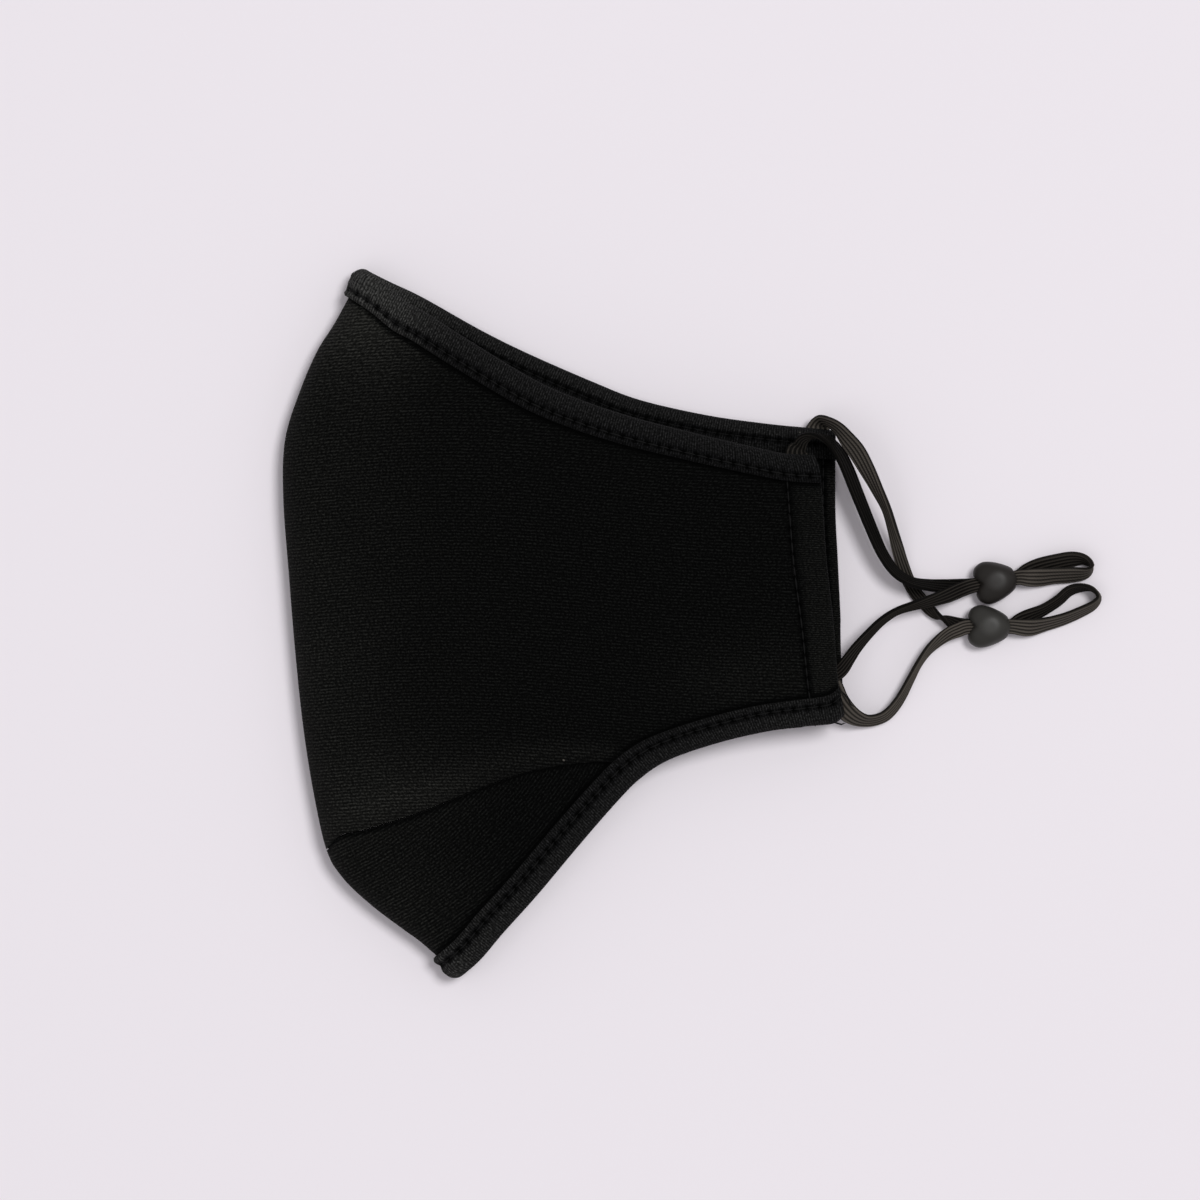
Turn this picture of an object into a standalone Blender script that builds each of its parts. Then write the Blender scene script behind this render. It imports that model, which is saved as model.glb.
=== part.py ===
"""A folded cloth face mask with two elastic ear loops and two heart-shaped cord locks.

Metres, +Z up. The mask is folded along its front centre line and lies on its far half.
+X runs from the front fold to the ears, +Y from the chin to the nose. The origin is on
the surface, below the middle of the mask without its elastics.
"""
import math

import bpy
import bmesh
from mathutils import Vector

MM = 0.001

# The mask, folded
DEPTH = 118.0 * MM          # front fold to ear edge
HEIGHT = 150.7 * MM         # chin tip to nose tip
RISE = 14.6 * MM            # top of the near half over the surface
FOLD_HEIGHT = 4.85 * MM     # where the two halves meet along the front
NEAR_ROLL = 7.0 * MM        # how far back the near half takes to turn flat
FAR_ROLL = 6.0 * MM         # the same for the far half
TIP_ROLL = 3.6 * MM         # both, at the nose and chin tips

# Cloth
CLOTH = 1.5 * MM            # two plies of cotton jersey
CLEARANCE = 0.3 * MM        # between pieces sewn together
TAPE = 1.0 * MM             # binding tape, one ply
TAPE_WIDTH = 6.3 * MM

# Ear hem, a flat tunnel for the elastic
HEM_WIDTH = 7.5 * MM
HEM_FACE = 1.1 * MM         # ply on the outside
HEM_BACK = 1.0 * MM         # ply on the inside
HEM_STEP = 0.5 * MM
TUNNEL_WIDTH = 5.6 * MM
TUNNEL_HEIGHT = 1.3 * MM
MOUTH_LOW = 8.7 * MM        # inner mouth, measured up from the lower edge
MOUTH_HIGH = 18.7 * MM
MOUTH_RAMP = 1.0 * MM        # over which the tunnel opens to the inside
TUNNEL_LEAD = 4.0 * MM       # how far its cutter runs out of the top edge and the floor
HEM = HEM_FACE + TUNNEL_HEIGHT + HEM_BACK
TUNNEL_OFFSET = 0.15 * MM    # the tunnel's middle lies this much nearer the edge
TUNNEL_INSET = HEM_WIDTH / 2 - TUNNEL_OFFSET
TUNNEL_DEPTH = HEM_FACE + TUNNEL_HEIGHT / 2

# Far half: its edges stand on the tape below them, and its middle lies on the surface
LIFT = TAPE + CLEARANCE
LIFT_END = 8.5 * MM
LIFT_FADE = 20.0 * MM

# Elastic and cord locks
BAND_WIDTH = 5.0 * MM
BAND_THICK = 0.8 * MM
BAND_SPAN = 3.0 * MM         # a longer span of its route is halved
ROUTE_UNIT = 1.0 * MM        # of the routes and places below
LOCK_LENGTH = 9.2 * MM
LOCK_WIDTH = 9.0 * MM
LOCK_THICK = 6.0 * MM
SLOT_WIDTH = 4.2 * MM
SLOT_HEIGHT = 2.8 * MM

# Edges of the mask seen from above, as shares of DEPTH and HEIGHT: (x, y)
FRONT_FOLD = [
    (0.317, 0.007), (0.281, 0.032), (0.244, 0.057), (0.212, 0.075), (0.155, 0.109),
    (0.107, 0.145), (0.077, 0.185), (0.053, 0.269), (0.035, 0.360), (0.021, 0.464),
    (0.010, 0.569), (0.000, 0.676), (0.003, 0.757), (0.030, 0.826), (0.061, 0.882),
    (0.090, 0.918), (0.116, 0.955), (0.144, 0.997),
]
TOP_NEAR = [
    (0.144, 0.997), (0.185, 0.974), (0.223, 0.949), (0.258, 0.934), (0.315, 0.905),
    (0.445, 0.843), (0.538, 0.811), (0.632, 0.787), (0.721, 0.769), (0.778, 0.758),
    (0.881, 0.740), (0.945, 0.736),
]
TOP_FAR = [
    (0.144, 0.997), (0.190, 0.979), (0.249, 0.957), (0.351, 0.912), (0.436, 0.879),
    (0.550, 0.840), (0.636, 0.814), (0.753, 0.793), (0.849, 0.782), (0.920, 0.776),
    (0.985, 0.771),
]
EAR_NEAR = [
    (0.999, 0.372), (0.988, 0.422), (0.979, 0.506), (0.967, 0.590), (0.961, 0.659),
    (0.956, 0.708), (0.945, 0.736),
]
EAR_FAR = [
    (0.999, 0.372), (0.997, 0.450), (0.995, 0.507), (0.990, 0.590), (0.986, 0.656),
    (0.985, 0.771),
]
LOWER_EDGE = [
    (0.317, 0.007), (0.354, 0.033), (0.393, 0.069), (0.454, 0.122), (0.529, 0.192),
    (0.591, 0.248), (0.636, 0.284), (0.689, 0.311), (0.778, 0.335), (0.867, 0.351),
    (0.935, 0.357), (0.980, 0.361), (0.999, 0.372),
]
CHIN_SEAM = [
    (0.077, 0.185), (0.101, 0.205), (0.148, 0.214), (0.244, 0.238), (0.319, 0.262),
    (0.404, 0.287), (0.475, 0.301), (0.555, 0.308), (0.609, 0.306), (0.650, 0.295),
]

# Height of the near half, as shares of RISE: (share of the way back, low, middle, top)
PROFILE = [
    (0.00, 0.57, 0.76, 0.57),
    (0.15, 0.62, 0.87, 0.63),
    (0.35, 0.68, 0.97, 0.72),
    (0.60, 0.76, 1.00, 0.82),
    (0.85, 0.84, 0.96, 0.90),
    (1.00, 0.87, 0.94, 0.93),
]
PROFILE_EASE = 0.4           # 0 joins the rows with straight lines, 1 with flat-ended ones
# Soft folds of the near half: place (back, up) and reach as shares, height share of RISE
SOFT_FOLDS = [
    (0.20, 0.33, 0.16, 0.07, 0.060),
    (0.13, 0.86, 0.10, 0.10, 0.045),
    (0.22, 0.62, 0.12, 0.16, -0.070),
    (0.82, 0.22, 0.16, 0.10, 0.035),
    (0.55, 0.55, 0.20, 0.16, 0.030),
]

# Free route of each elastic, in millimetres: (x, y, z, turn of its face in degrees,
# share of the band's width). It starts at the top mouth and ends at the lower mouth.
NEAR_ROUTE = [
    (49.5, 37.4, 11.8, 8, 0.64), (50.0, 38.5, 12.1, 30, 0.60), (51.3, 39.3, 12.2, 65, 0.66),
    (53.4, 39.3, 11.8, 95, 0.75), (56.0, 38.0, 10.7, 115, 0.85), (58.1, 35.5, 9.5, 124, 0.95),
    (59.7, 32.4, 8.3, 127, 1.0), (61.4, 28.2, 7.5, 127, 1.0), (63.1, 24.0, 7.0, 126, 1.0),
    (65.0, 19.4, 6.6, 125, 1.0), (67.1, 14.8, 6.2, 122, 1.0), (69.8, 11.0, 5.9, 119, 1.0),
    (73.2, 8.9, 5.5, 118, 1.0), (77.0, 8.2, 4.1, 130, 1.0), (80.6, 8.0, 2.7, 150, 0.90),
    (83.8, 8.0, 2.3, 170, 0.72), (86.6, 8.2, 2.5, 180, 0.62), (91.2, 9.0, 2.5, 180, 0.62),
    (95.6, 9.8, 2.3, 182, 0.62), (98.0, 11.1, 2.0, 203, 0.80), (100.6, 12.2, 2.1, 223, 1.0),
    (103.6, 13.0, 2.2, 227, 1.0), (107.2, 13.7, 2.35, 232, 1.0), (109.7, 13.6, 2.6, 250, 1.0),
    (111.3, 12.2, 2.65, 270, 1.0), (110.1, 10.8, 2.6, 295, 1.0), (107.2, 10.4, 2.5, 308, 1.0),
    (103.6, 10.2, 2.7, 312, 1.0), (100.6, 9.9, 3.0, 320, 1.0), (98.0, 9.8, 3.7, 339, 0.80),
    (95.6, 9.8, 3.6, 358, 0.62), (91.2, 9.0, 3.5, 360, 0.62), (86.6, 8.2, 3.5, 360, 0.62),
    (83.8, 7.3, 4.1, 354, 0.75), (80.6, 6.0, 5.3, 338, 0.95), (77.0, 4.9, 6.7, 314, 1.0),
    (73.2, 3.8, 7.3, 296, 1.0), (69.8, 2.6, 7.4, 290, 1.0), (66.7, 0.5, 7.3, 295, 1.0),
    (63.7, -2.5, 7.5, 302, 0.95), (61.4, -5.2, 7.7, 315, 0.80), (59.8, -7.5, 7.9, 335, 0.66),
    (58.4, -9.5, 8.1, 355, 0.60), (56.9, -10.6, 8.2, 360, 0.60), (55.2, -10.5, 8.3, 360, 0.60),
    (54.0, -9.0, 8.9, 360, 0.62), (53.5, -6.8, 10.1, 360, 0.80), (53.3, -4.6, 11.3, 360, 0.95),
]
FAR_ROUTE = [
    (53.6, 42.0, 3.2, 8, 0.80), (54.3, 42.7, 4.4, 35, 0.70), (55.5, 42.5, 6.9, 62, 0.68),
    (57.3, 41.2, 9.9, 58, 0.80), (59.1, 39.1, 11.8, 50, 0.95), (61.4, 36.2, 11.8, 45, 1.0),
    (63.6, 32.4, 11.0, 50, 1.0), (65.8, 28.2, 9.5, 60, 1.0), (67.9, 24.0, 7.4, 68, 1.0),
    (69.3, 19.8, 5.2, 60, 0.95), (70.4, 16.0, 3.0, 38, 1.0), (71.4, 12.7, 1.6, 20, 1.0),
    (72.6, 9.5, 1.1, 8, 1.0), (74.1, 6.8, 1.1, 8, 1.0), (75.7, 4.9, 1.2, 15, 1.0),
    (77.4, 2.9, 1.7, 38, 1.0), (79.3, 1.5, 2.5, 80, 0.95), (81.3, 0.6, 2.0, 135, 0.85),
    (83.2, -0.1, 2.1, 168, 0.70), (85.2, -0.4, 2.5, 180, 0.62), (89.8, -0.5, 2.5, 180, 0.62),
    (94.2, -0.5, 2.4, 182, 0.62), (96.4, 0.6, 2.2, 205, 0.80), (98.6, 1.8, 2.4, 232, 1.0),
    (101.3, 3.1, 2.5, 243, 1.0), (104.3, 5.0, 2.45, 245, 1.0), (106.6, 7.0, 2.45, 247, 1.0),
    (109.1, 7.7, 2.5, 255, 1.0), (111.4, 7.4, 2.6, 268, 1.0), (112.8, 5.8, 2.6, 278, 1.0),
    (111.8, 4.1, 2.55, 288, 1.0), (109.3, 2.7, 2.5, 293, 1.0), (105.5, 1.1, 2.5, 297, 1.0),
    (101.3, -0.1, 2.7, 304, 1.0), (98.6, -0.7, 3.1, 322, 0.90), (96.4, -0.7, 3.4, 345, 0.72),
    (94.2, -0.5, 3.5, 358, 0.62), (89.8, -0.5, 3.5, 360, 0.62), (85.2, -0.6, 3.5, 360, 0.62),
    (83.2, -1.2, 3.9, 354, 0.70), (81.4, -1.9, 4.0, 340, 0.80), (79.4, -3.2, 3.5, 320, 0.90),
    (77.0, -5.4, 2.9, 300, 1.0), (74.9, -8.3, 2.6, 290, 1.0), (73.0, -11.9, 2.55, 295, 1.0),
    (71.4, -15.0, 2.45, 300, 1.0), (69.8, -17.4, 2.4, 303, 1.0), (67.9, -19.3, 2.4, 304, 1.0),
    (65.6, -20.2, 2.7, 304, 1.0), (63.2, -20.3, 3.9, 310, 1.0), (61.2, -19.6, 5.6, 335, 0.90),
    (59.5, -18.3, 6.7, 355, 0.85), (57.9, -16.3, 6.95, 360, 0.90), (56.6, -14.0, 6.95, 360, 1.0),
    (55.5, -11.3, 6.2, 360, 1.0), (55.1, -8.2, 4.5, 360, 1.0), (55.0, -5.0, 2.7, 360, 1.0),
]
# Cord locks, in millimetres: middle (x, y) and the turn of the heart's tip in degrees
NEAR_LOCK = (91.1, 9.0, 10.0)
FAR_LOCK = (89.7, -0.5, -1.0)

# Half of the heart's outline, cleft to tip, as shares of LOCK_LENGTH and LOCK_WIDTH: (x, y)
HEART = [
    (-0.32, 0.00), (-0.44, 0.12), (-0.49, 0.26), (-0.42, 0.41), (-0.24, 0.50),
    (-0.02, 0.47), (0.22, 0.37), (0.40, 0.25), (0.50, 0.09),
]

FULL_TURN = 360.0            # degrees that an elastic's face turns over its whole ring
LOCK_ROUNDNESS = 0.62        # power of the sine that rounds the heart from top to bottom
LOCK_LEVELS = 8

# How finely the cloth is divided
ROLL_STEPS = 5
FIELD_STEPS = 10
TAPE_STEPS = 15
HEM_DISTANCES = (HEM_WIDTH + HEM_STEP, HEM_WIDTH, HEM_WIDTH / 2, 0.0)
SIDE_ROWS = 13
CHIN_ROWS = 5
ROLL_SHARE = 0.25
HEM_SHARE = 0.90
SEAM_END_STEP = 0.02


def smoothstep(value):
    """0 to 1 with flat ends."""
    value = min(max(value, 0.0), 1.0)
    return value * value * (3.0 - 2.0 * value)


class Line:
    """A smooth line through points, read by share of its length."""

    def __init__(self, points, per_span=8):
        points = [Vector(point) for point in points]
        ends = [2 * points[0] - points[1]] + points + [2 * points[-1] - points[-2]]
        self.points = []
        for before, start, end, after in zip(ends, ends[1:], ends[2:], ends[3:]):
            for step in range(per_span):
                self.points.append(curve_point(before, start, end, after, step / per_span))
        self.points.append(points[-1])
        self.lengths = [0.0]
        for start, end in zip(self.points, self.points[1:]):
            self.lengths.append(self.lengths[-1] + (end - start).length)

    def at(self, share):
        """The point at this share of the length; beyond the ends it runs on straight."""
        wanted = share * self.lengths[-1]
        index = 1
        while index < len(self.lengths) - 1 and self.lengths[index] < wanted:
            index += 1
        low = self.lengths[index - 1]
        part = (wanted - low) / (self.lengths[index] - low)
        return self.points[index - 1].lerp(self.points[index], part)


def curve_point(before, start, end, after, t):
    """A point of the Catmull-Rom curve from start to end."""
    linear = (end - before) * t
    square = (2 * before - 5 * start + 4 * end - after) * t ** 2
    cube = (3 * start - before - 3 * end + after) * t ** 3
    return 0.5 * (2 * start + linear + square + cube)


def outline(rows):
    """A line through rows of shares of the mask's depth and height."""
    return Line([((x - 0.5) * DEPTH, (y - 0.5) * HEIGHT) for x, y in rows])


class Half:
    """The outer face of one half of the mask: a four-sided sheet between its edges.

    across runs from the front fold (0) to the ear edge (1), up from the lower edge (0)
    to the top edge (1).
    """

    def __init__(self, top, ear, near):
        self.near = near
        self.front = outline(FRONT_FOLD)
        self.top = outline(top)
        self.ear = outline(ear)
        self.lower = outline(LOWER_EDGE)
        self.seam = outline(CHIN_SEAM)

    def plan(self, back, up):
        """The point seen from above, blended between the four edges."""
        sides = self.front.at(up) * (1 - back) + self.ear.at(up) * back
        ends = self.lower.at(back) * (1 - up) + self.top.at(back) * up
        low = self.front.at(0) * (1 - back) + self.ear.at(0) * back
        high = self.front.at(1) * (1 - back) + self.ear.at(1) * back
        return sides + ends - low * (1 - up) - high * up

    def row_length(self, up):
        return (self.ear.at(up) - self.front.at(up)).length

    def column_length(self, back):
        return (self.top.at(back) - self.lower.at(back)).length

    def roll(self, up):
        wide = NEAR_ROLL if self.near else FAR_ROLL
        return TIP_ROLL + (wide - TIP_ROLL) * smoothstep(3.0 * min(up, 1 - up))

    def distance(self, across, up):
        """Distance from the front fold along a row."""
        roll = self.roll(up)
        hem_start = self.row_length(up) - HEM_WIDTH - HEM_STEP
        if across < ROLL_SHARE:
            return roll * (1 - math.cos(across / ROLL_SHARE * math.pi / 2))
        if across < HEM_SHARE:
            return roll + (hem_start - roll) * (across - ROLL_SHARE) / (HEM_SHARE - ROLL_SHARE)
        return hem_start + (HEM_WIDTH + HEM_STEP) * (across - HEM_SHARE) / (1 - HEM_SHARE)

    def plateau(self, back, up):
        """Height of the half where it has turned flat."""
        if self.near:
            return RISE * self.near_share(back, up)
        to_edge = min(up, 1 - up) * self.column_length(back)
        return LIFT * (1 - smoothstep((to_edge - LIFT_END) / (LIFT_FADE - LIFT_END)))

    def near_share(self, back, up):
        _, low, middle, high = self.profile_at(back)
        share = low * (1 - up) + high * up
        share += (middle - (low + high) / 2) * (1 - (2 * up - 1) ** 4)
        for place, rise, reach, tall, height in SOFT_FOLDS:
            away = ((back - place) / reach) ** 2 + ((up - rise) / tall) ** 2
            share += height * math.exp(-away) * (1 - (2 * up - 1) ** 8)
        return share

    def profile_at(self, back):
        for start, end in zip(PROFILE, PROFILE[1:]):
            if back <= end[0]:
                break
        part = min((back - start[0]) / (end[0] - start[0]), 1.0)
        part += (smoothstep(part) - part) * PROFILE_EASE
        return [a + (b - a) * part for a, b in zip(start, end)]

    def face(self, across, up):
        """A point of the outer face."""
        back = self.distance(across, up) / self.row_length(up)
        x, y = self.plan(back, up)
        turned = math.sin(min(across / ROLL_SHARE, 1.0) * math.pi / 2)
        z = FOLD_HEIGHT + (self.plateau(back, up) - FOLD_HEIGHT) * turned
        return Vector((x, y, z))

    def outward(self, across, up):
        """Unit vector out of the outer face."""
        step = 0.002
        left = max(across - step, 0.0)
        right = min(across + step, 1.0)
        below = max(up - step, 0.0)
        above = min(up + step, 1.0)
        along = self.face(right, up) - self.face(left, up)
        rise = self.face(across, above) - self.face(across, below)
        normal = along.cross(rise).normalized()
        return normal if self.near else -normal

    def at(self, across, up, out=0.0):
        return self.face(across, up) + self.outward(across, up) * out

    def across_from_ear(self, distance):
        """The place this far in from the ear edge, for distances within the hem."""
        return 1 - (1 - HEM_SHARE) * distance / (HEM_WIDTH + HEM_STEP)

    def up_from(self, across, distance, edge):
        """How far up a place is that lies this far in from the top or lower edge."""
        back = self.distance(across, edge) / self.row_length(edge)
        share = distance / self.column_length(back)
        return 1 - share if edge else share

    def wall(self, across, margin=0.0):
        """Thickness of the cloth, which steps up at the ear hem."""
        from_ear = (1 - across) * (HEM_WIDTH + HEM_STEP) / (1 - HEM_SHARE)
        part = (HEM_WIDTH + HEM_STEP + margin - from_ear) / HEM_STEP
        return CLOTH + (HEM - CLOTH) * min(max(part, 0.0), 1.0)

    def seam_up(self, across):
        """How far up the chin seam is here, or None behind the end of the seam."""
        low, high = 0.0, 0.6
        if self.above_seam(across, low):
            return None
        for _ in range(40):
            middle = (low + high) / 2
            if self.above_seam(across, middle):
                high = middle
            else:
                low = middle
        return low

    def above_seam(self, across, up):
        point = self.face(across, up)
        seam = self.seam.points
        if point.x >= seam[-1].x:
            return True
        for start, end in zip(seam, seam[1:]):
            if point.x < end.x:
                break
        part = (point.x - start.x) / (end.x - start.x)
        return point.y > start.y + (end.y - start.y) * part

    def fold_across(self, up):
        """The first place of the cloth, half a clearance from the other half."""
        tall = abs(self.plateau(0.0, up) - FOLD_HEIGHT)
        return ROLL_SHARE * math.asin(CLEARANCE / 2 / tall) / (math.pi / 2)


def spread(start, end, count):
    """count + 1 evenly spaced values."""
    return [start + (end - start) * step / count for step in range(count + 1)]


def add_object(name, vertices, faces, material, smooth_angle=40.0):
    """A closed object with its faces pointing out."""
    mesh = bpy.data.meshes.new(name)
    work = bmesh.new()
    corners = [work.verts.new(vertex) for vertex in vertices]
    for face in faces:
        work.faces.new([corners[index] for index in face])
    bmesh.ops.recalc_face_normals(work, faces=work.faces)
    work.to_mesh(mesh)
    work.free()
    mesh.shade_smooth()
    mesh.set_sharp_from_angle(angle=math.radians(smooth_angle))
    item = bpy.data.objects.new(name, mesh)
    bpy.context.collection.objects.link(item)
    if material:
        mesh.materials.append(material)
    return item


def add_rings(name, rings, material, closed=False):
    """A closed object through rings of points, capped at both ends unless it is closed."""
    size = len(rings[0])
    vertices = [point for ring in rings for point in ring]
    faces = []
    last = len(rings) if closed else len(rings) - 1
    for ring in range(last):
        start = ring * size
        after = (ring + 1) % len(rings) * size
        for corner in range(size):
            beside = (corner + 1) % size
            faces.append((start + corner, start + beside, after + beside, after + corner))
    if not closed:
        faces.append(tuple(range(size)))
        faces.append(tuple(range(last * size, (last + 1) * size)))
    return add_object(name, vertices, faces, material)


def add_wall(name, outer, inner, material):
    """A sheet with a thickness, from its outer and inner columns of points."""
    tall = len(outer[0])
    vertices = [point for column in outer + inner for point in column]
    inside = len(outer) * tall
    faces = []
    for column in range(len(outer) - 1):
        for row in range(tall - 1):
            a = column * tall + row
            b = a + tall
            faces.append((a, b, b + 1, a + 1))
            faces.append((inside + a, inside + a + 1, inside + b + 1, inside + b))
    for column in range(len(outer) - 1):
        for row in (0, tall - 1):
            a = column * tall + row
            b = a + tall
            faces.append((a, b, inside + b, inside + a))
    for row in range(tall - 1):
        for column in (0, len(outer) - 1):
            a = column * tall + row
            faces.append((a, a + 1, inside + a + 1, inside + a))
    return add_object(name, vertices, faces, material)


def cut(item, cutter):
    """Cut one object out of another."""
    modifier = item.modifiers.new("cut_" + cutter.name, "BOOLEAN")
    modifier.operation = "DIFFERENCE"
    modifier.solver = "EXACT"
    modifier.object = cutter


def add_material(name, colour, roughness):
    material = bpy.data.materials.new(name)
    material.use_nodes = True
    shader = material.node_tree.nodes["Principled BSDF"]
    shader.inputs["Base Color"].default_value = (*colour, 1.0)
    shader.inputs["Roughness"].default_value = roughness
    shader.inputs["Metallic"].default_value = 0.0
    return material


def side_columns(half):
    """Places across the half at which the side panel has a column of points."""
    fold = half.fold_across(0.5)
    field = spread(ROLL_SHARE, HEM_SHARE, FIELD_STEPS)[1:]
    end = chin_end(half)
    field = [place for place in field if abs(place - end) > SEAM_END_STEP]
    field = sorted(field + [end, end + SEAM_END_STEP / 2])
    columns = spread(fold, ROLL_SHARE, ROLL_STEPS) + field
    return columns + [half.across_from_ear(distance) for distance in HEM_DISTANCES[1:]]


def chin_end(half):
    """Where the chin panel has narrowed to one cloth's thickness, under the binding."""
    low, high = ROLL_SHARE, HEM_SHARE
    for _ in range(30):
        middle = (low + high) / 2
        if chin_height(half, middle) > CLOTH:
            low = middle
        else:
            high = middle
    return low


def chin_height(half, across):
    """Height of the chin panel at this place, or 0 behind its end."""
    seam = half.seam_up(across)
    if seam is None:
        return 0.0
    back = half.distance(across, 0) / half.row_length(0)
    return (seam - half.up_from(across, CLEARANCE + TAPE, 0)) * half.column_length(back)


def column_wall(half, across, low, high, rows):
    """Outer and inner points of one column of cloth between two places up the half."""
    outer = []
    inner = []
    for up in spread(low, high, rows):
        place = max(across, half.fold_across(up))
        outer.append(half.at(place, up))
        inner.append(half.at(place, up, -half.wall(across)))
    return outer, inner


def side_panel(half, name, material):
    """The panel above the chin seam, with its ear hem."""
    edge = CLEARANCE + TAPE
    outer = []
    inner = []
    for across in side_columns(half):
        low = half.up_from(across, edge, 0)
        seam = half.seam_up(across)
        if across <= chin_end(half):
            low = seam + CLEARANCE / 2 / HEIGHT
        high = half.up_from(across, edge, 1)
        column = column_wall(half, across, low, high, SIDE_ROWS)
        outer.append(column[0])
        inner.append(column[1])
    return add_wall(name, outer, inner, material)


def chin_panel(half, name, material):
    """The panel below the chin seam, which ends under the lower binding."""
    edge = CLEARANCE + TAPE
    outer = []
    inner = []
    for across in side_columns(half):
        if across > chin_end(half):
            break
        seam = half.seam_up(across)
        low = half.up_from(across, edge, 0)
        column = column_wall(half, across, low, seam - CLEARANCE / 2 / HEIGHT, CHIN_ROWS)
        outer.append(column[0])
        inner.append(column[1])
    return add_wall(name, outer, inner, material)


def tape_ring(half, across, edge):
    """One section of the folded tape round the edge of the cloth."""
    wall = half.wall(across, HEM_STEP + CLEARANCE)
    top = CLEARANCE + TAPE
    below = -wall - CLEARANCE - TAPE
    bend = 1.6 * TAPE
    shape = [
        (TAPE_WIDTH, top), (bend, top), (0.45 * TAPE, 0.6 * top), (0.0, -0.1 * TAPE),
        (0.0, -wall + 0.1 * TAPE), (0.45 * TAPE, -wall - 0.6 * top), (bend, below),
        (TAPE_WIDTH, below), (TAPE_WIDTH, below + TAPE), (TAPE, below + TAPE),
        (TAPE, CLEARANCE), (TAPE_WIDTH, CLEARANCE),
    ]
    ring = []
    for inward, out in shape:
        ring.append(half.at(across, half.up_from(across, inward, edge), out))
    return ring


def binding(near, far, name, edge, material):
    """One tape from the near ear edge round the tip to the far ear edge."""
    places = spread(0.0, ROLL_SHARE, ROLL_STEPS) + spread(ROLL_SHARE, HEM_SHARE, TAPE_STEPS)[1:]
    step = near.across_from_ear(HEM_WIDTH + 2 * HEM_STEP)
    places = [place for place in places if place < step - SEAM_END_STEP]
    places += [near.across_from_ear(HEM_WIDTH + 3 * HEM_STEP)]
    places += [near.across_from_ear(HEM_WIDTH + distance) for distance in (HEM_STEP, 0)]
    places += [near.across_from_ear(HEM_WIDTH / 2), 1.0]
    rings = [tape_ring(near, place, edge) for place in reversed(places)]
    rings += [tape_ring(far, place, edge) for place in places[1:]]
    return add_rings(name, rings, material)


def tunnel_point(half, down, out=-TUNNEL_DEPTH, inset=TUNNEL_INSET):
    """A point in the hem's tunnel, this far down from the top edge."""
    across = half.across_from_ear(inset)
    if down >= 0:
        return half.at(across, half.up_from(across, down, 1), out)
    inside = half.at(across, half.up_from(across, -down, 1), out)
    return 2 * half.at(across, 1.0, out) - inside


def hem_length(half):
    return half.column_length(1 - TUNNEL_INSET / DEPTH)


def tunnel_cutter(half, name):
    """The elastic's tunnel: open through the top edge, and to the inside at its foot."""
    length = hem_length(half)
    stations = [-TUNNEL_LEAD, 0.0] + spread(0.0, length - MOUTH_HIGH, 5)[1:]
    stations += [length - MOUTH_HIGH + MOUTH_RAMP, length - MOUTH_LOW]
    rings = []
    for down in stations:
        open_foot = down > length - MOUTH_HIGH + MOUTH_RAMP / 2
        floor = -HEM - TUNNEL_LEAD if open_foot else -HEM_FACE - TUNNEL_HEIGHT
        near_side = TUNNEL_INSET - TUNNEL_WIDTH / 2
        far_side = TUNNEL_INSET + TUNNEL_WIDTH / 2
        corners = [(near_side, -HEM_FACE), (far_side, -HEM_FACE), (far_side, floor), (near_side, floor)]
        rings.append([tunnel_point(half, down, out, inset) for inset, out in corners])
    cutter = add_rings(name, rings, None)
    cutter.hide_render = True
    cutter.display_type = "WIRE"
    return cutter


def hem_route(half):
    """The elastic's hidden stretch, from the lower mouth up to the top edge."""
    length = hem_length(half)
    stretch = []
    for down in spread(length - MOUTH_HIGH - MOUTH_RAMP, 0.0, 6):
        point = tunnel_point(half, down)
        stretch.append((*point, 0.0, 1.0))
    return stretch


def elastic(half, name, free_route, material):
    """A flat elastic ring: up through the hem, out, through the cord lock and back."""
    route = [Vector(row) for row in hem_route(half)]
    for x, y, z, turn, width in free_route:
        route.append(Vector((x * ROUTE_UNIT, y * ROUTE_UNIT, z * ROUTE_UNIT, turn, width)))
    count = len(route)
    rings = []
    for index in range(count):
        before, start, end, after = [route[(index + k) % count].copy() for k in (-1, 0, 1, 2)]
        if index == 0:
            before[3] -= FULL_TURN
        if index == count - 1:
            end[3] += FULL_TURN
            after[3] += FULL_TURN
        if index == count - 2:
            after[3] += FULL_TURN
        steps = 2 if (end - start).xyz.length > BAND_SPAN else 1
        for step in range(steps):
            here = curve_point(before, start, end, after, step / steps)
            ahead = curve_point(before, start, end, after, step / steps + 0.02)
            rings.append(band_ring(here, (ahead - here).xyz))
    return add_rings(name, rings, material, closed=True)


def band_ring(place, heading):
    """A six-sided section of the band, turned about its heading."""
    level = heading.cross(Vector((0, 0, 1))).normalized()
    rise = level.cross(heading).normalized()
    turn = math.radians(place[3])
    side = level * math.cos(turn) - rise * math.sin(turn)
    face = level * math.sin(turn) + rise * math.cos(turn)
    half_width = BAND_WIDTH / 2 * place[4]
    half_thick = BAND_THICK / 2
    shoulder = half_width - half_thick
    shape = [
        (half_width, 0.0), (shoulder, half_thick), (-shoulder, half_thick),
        (-half_width, 0.0), (-shoulder, -half_thick), (shoulder, -half_thick),
    ]
    return [place.xyz + side * u + face * v for u, v in shape]


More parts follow.
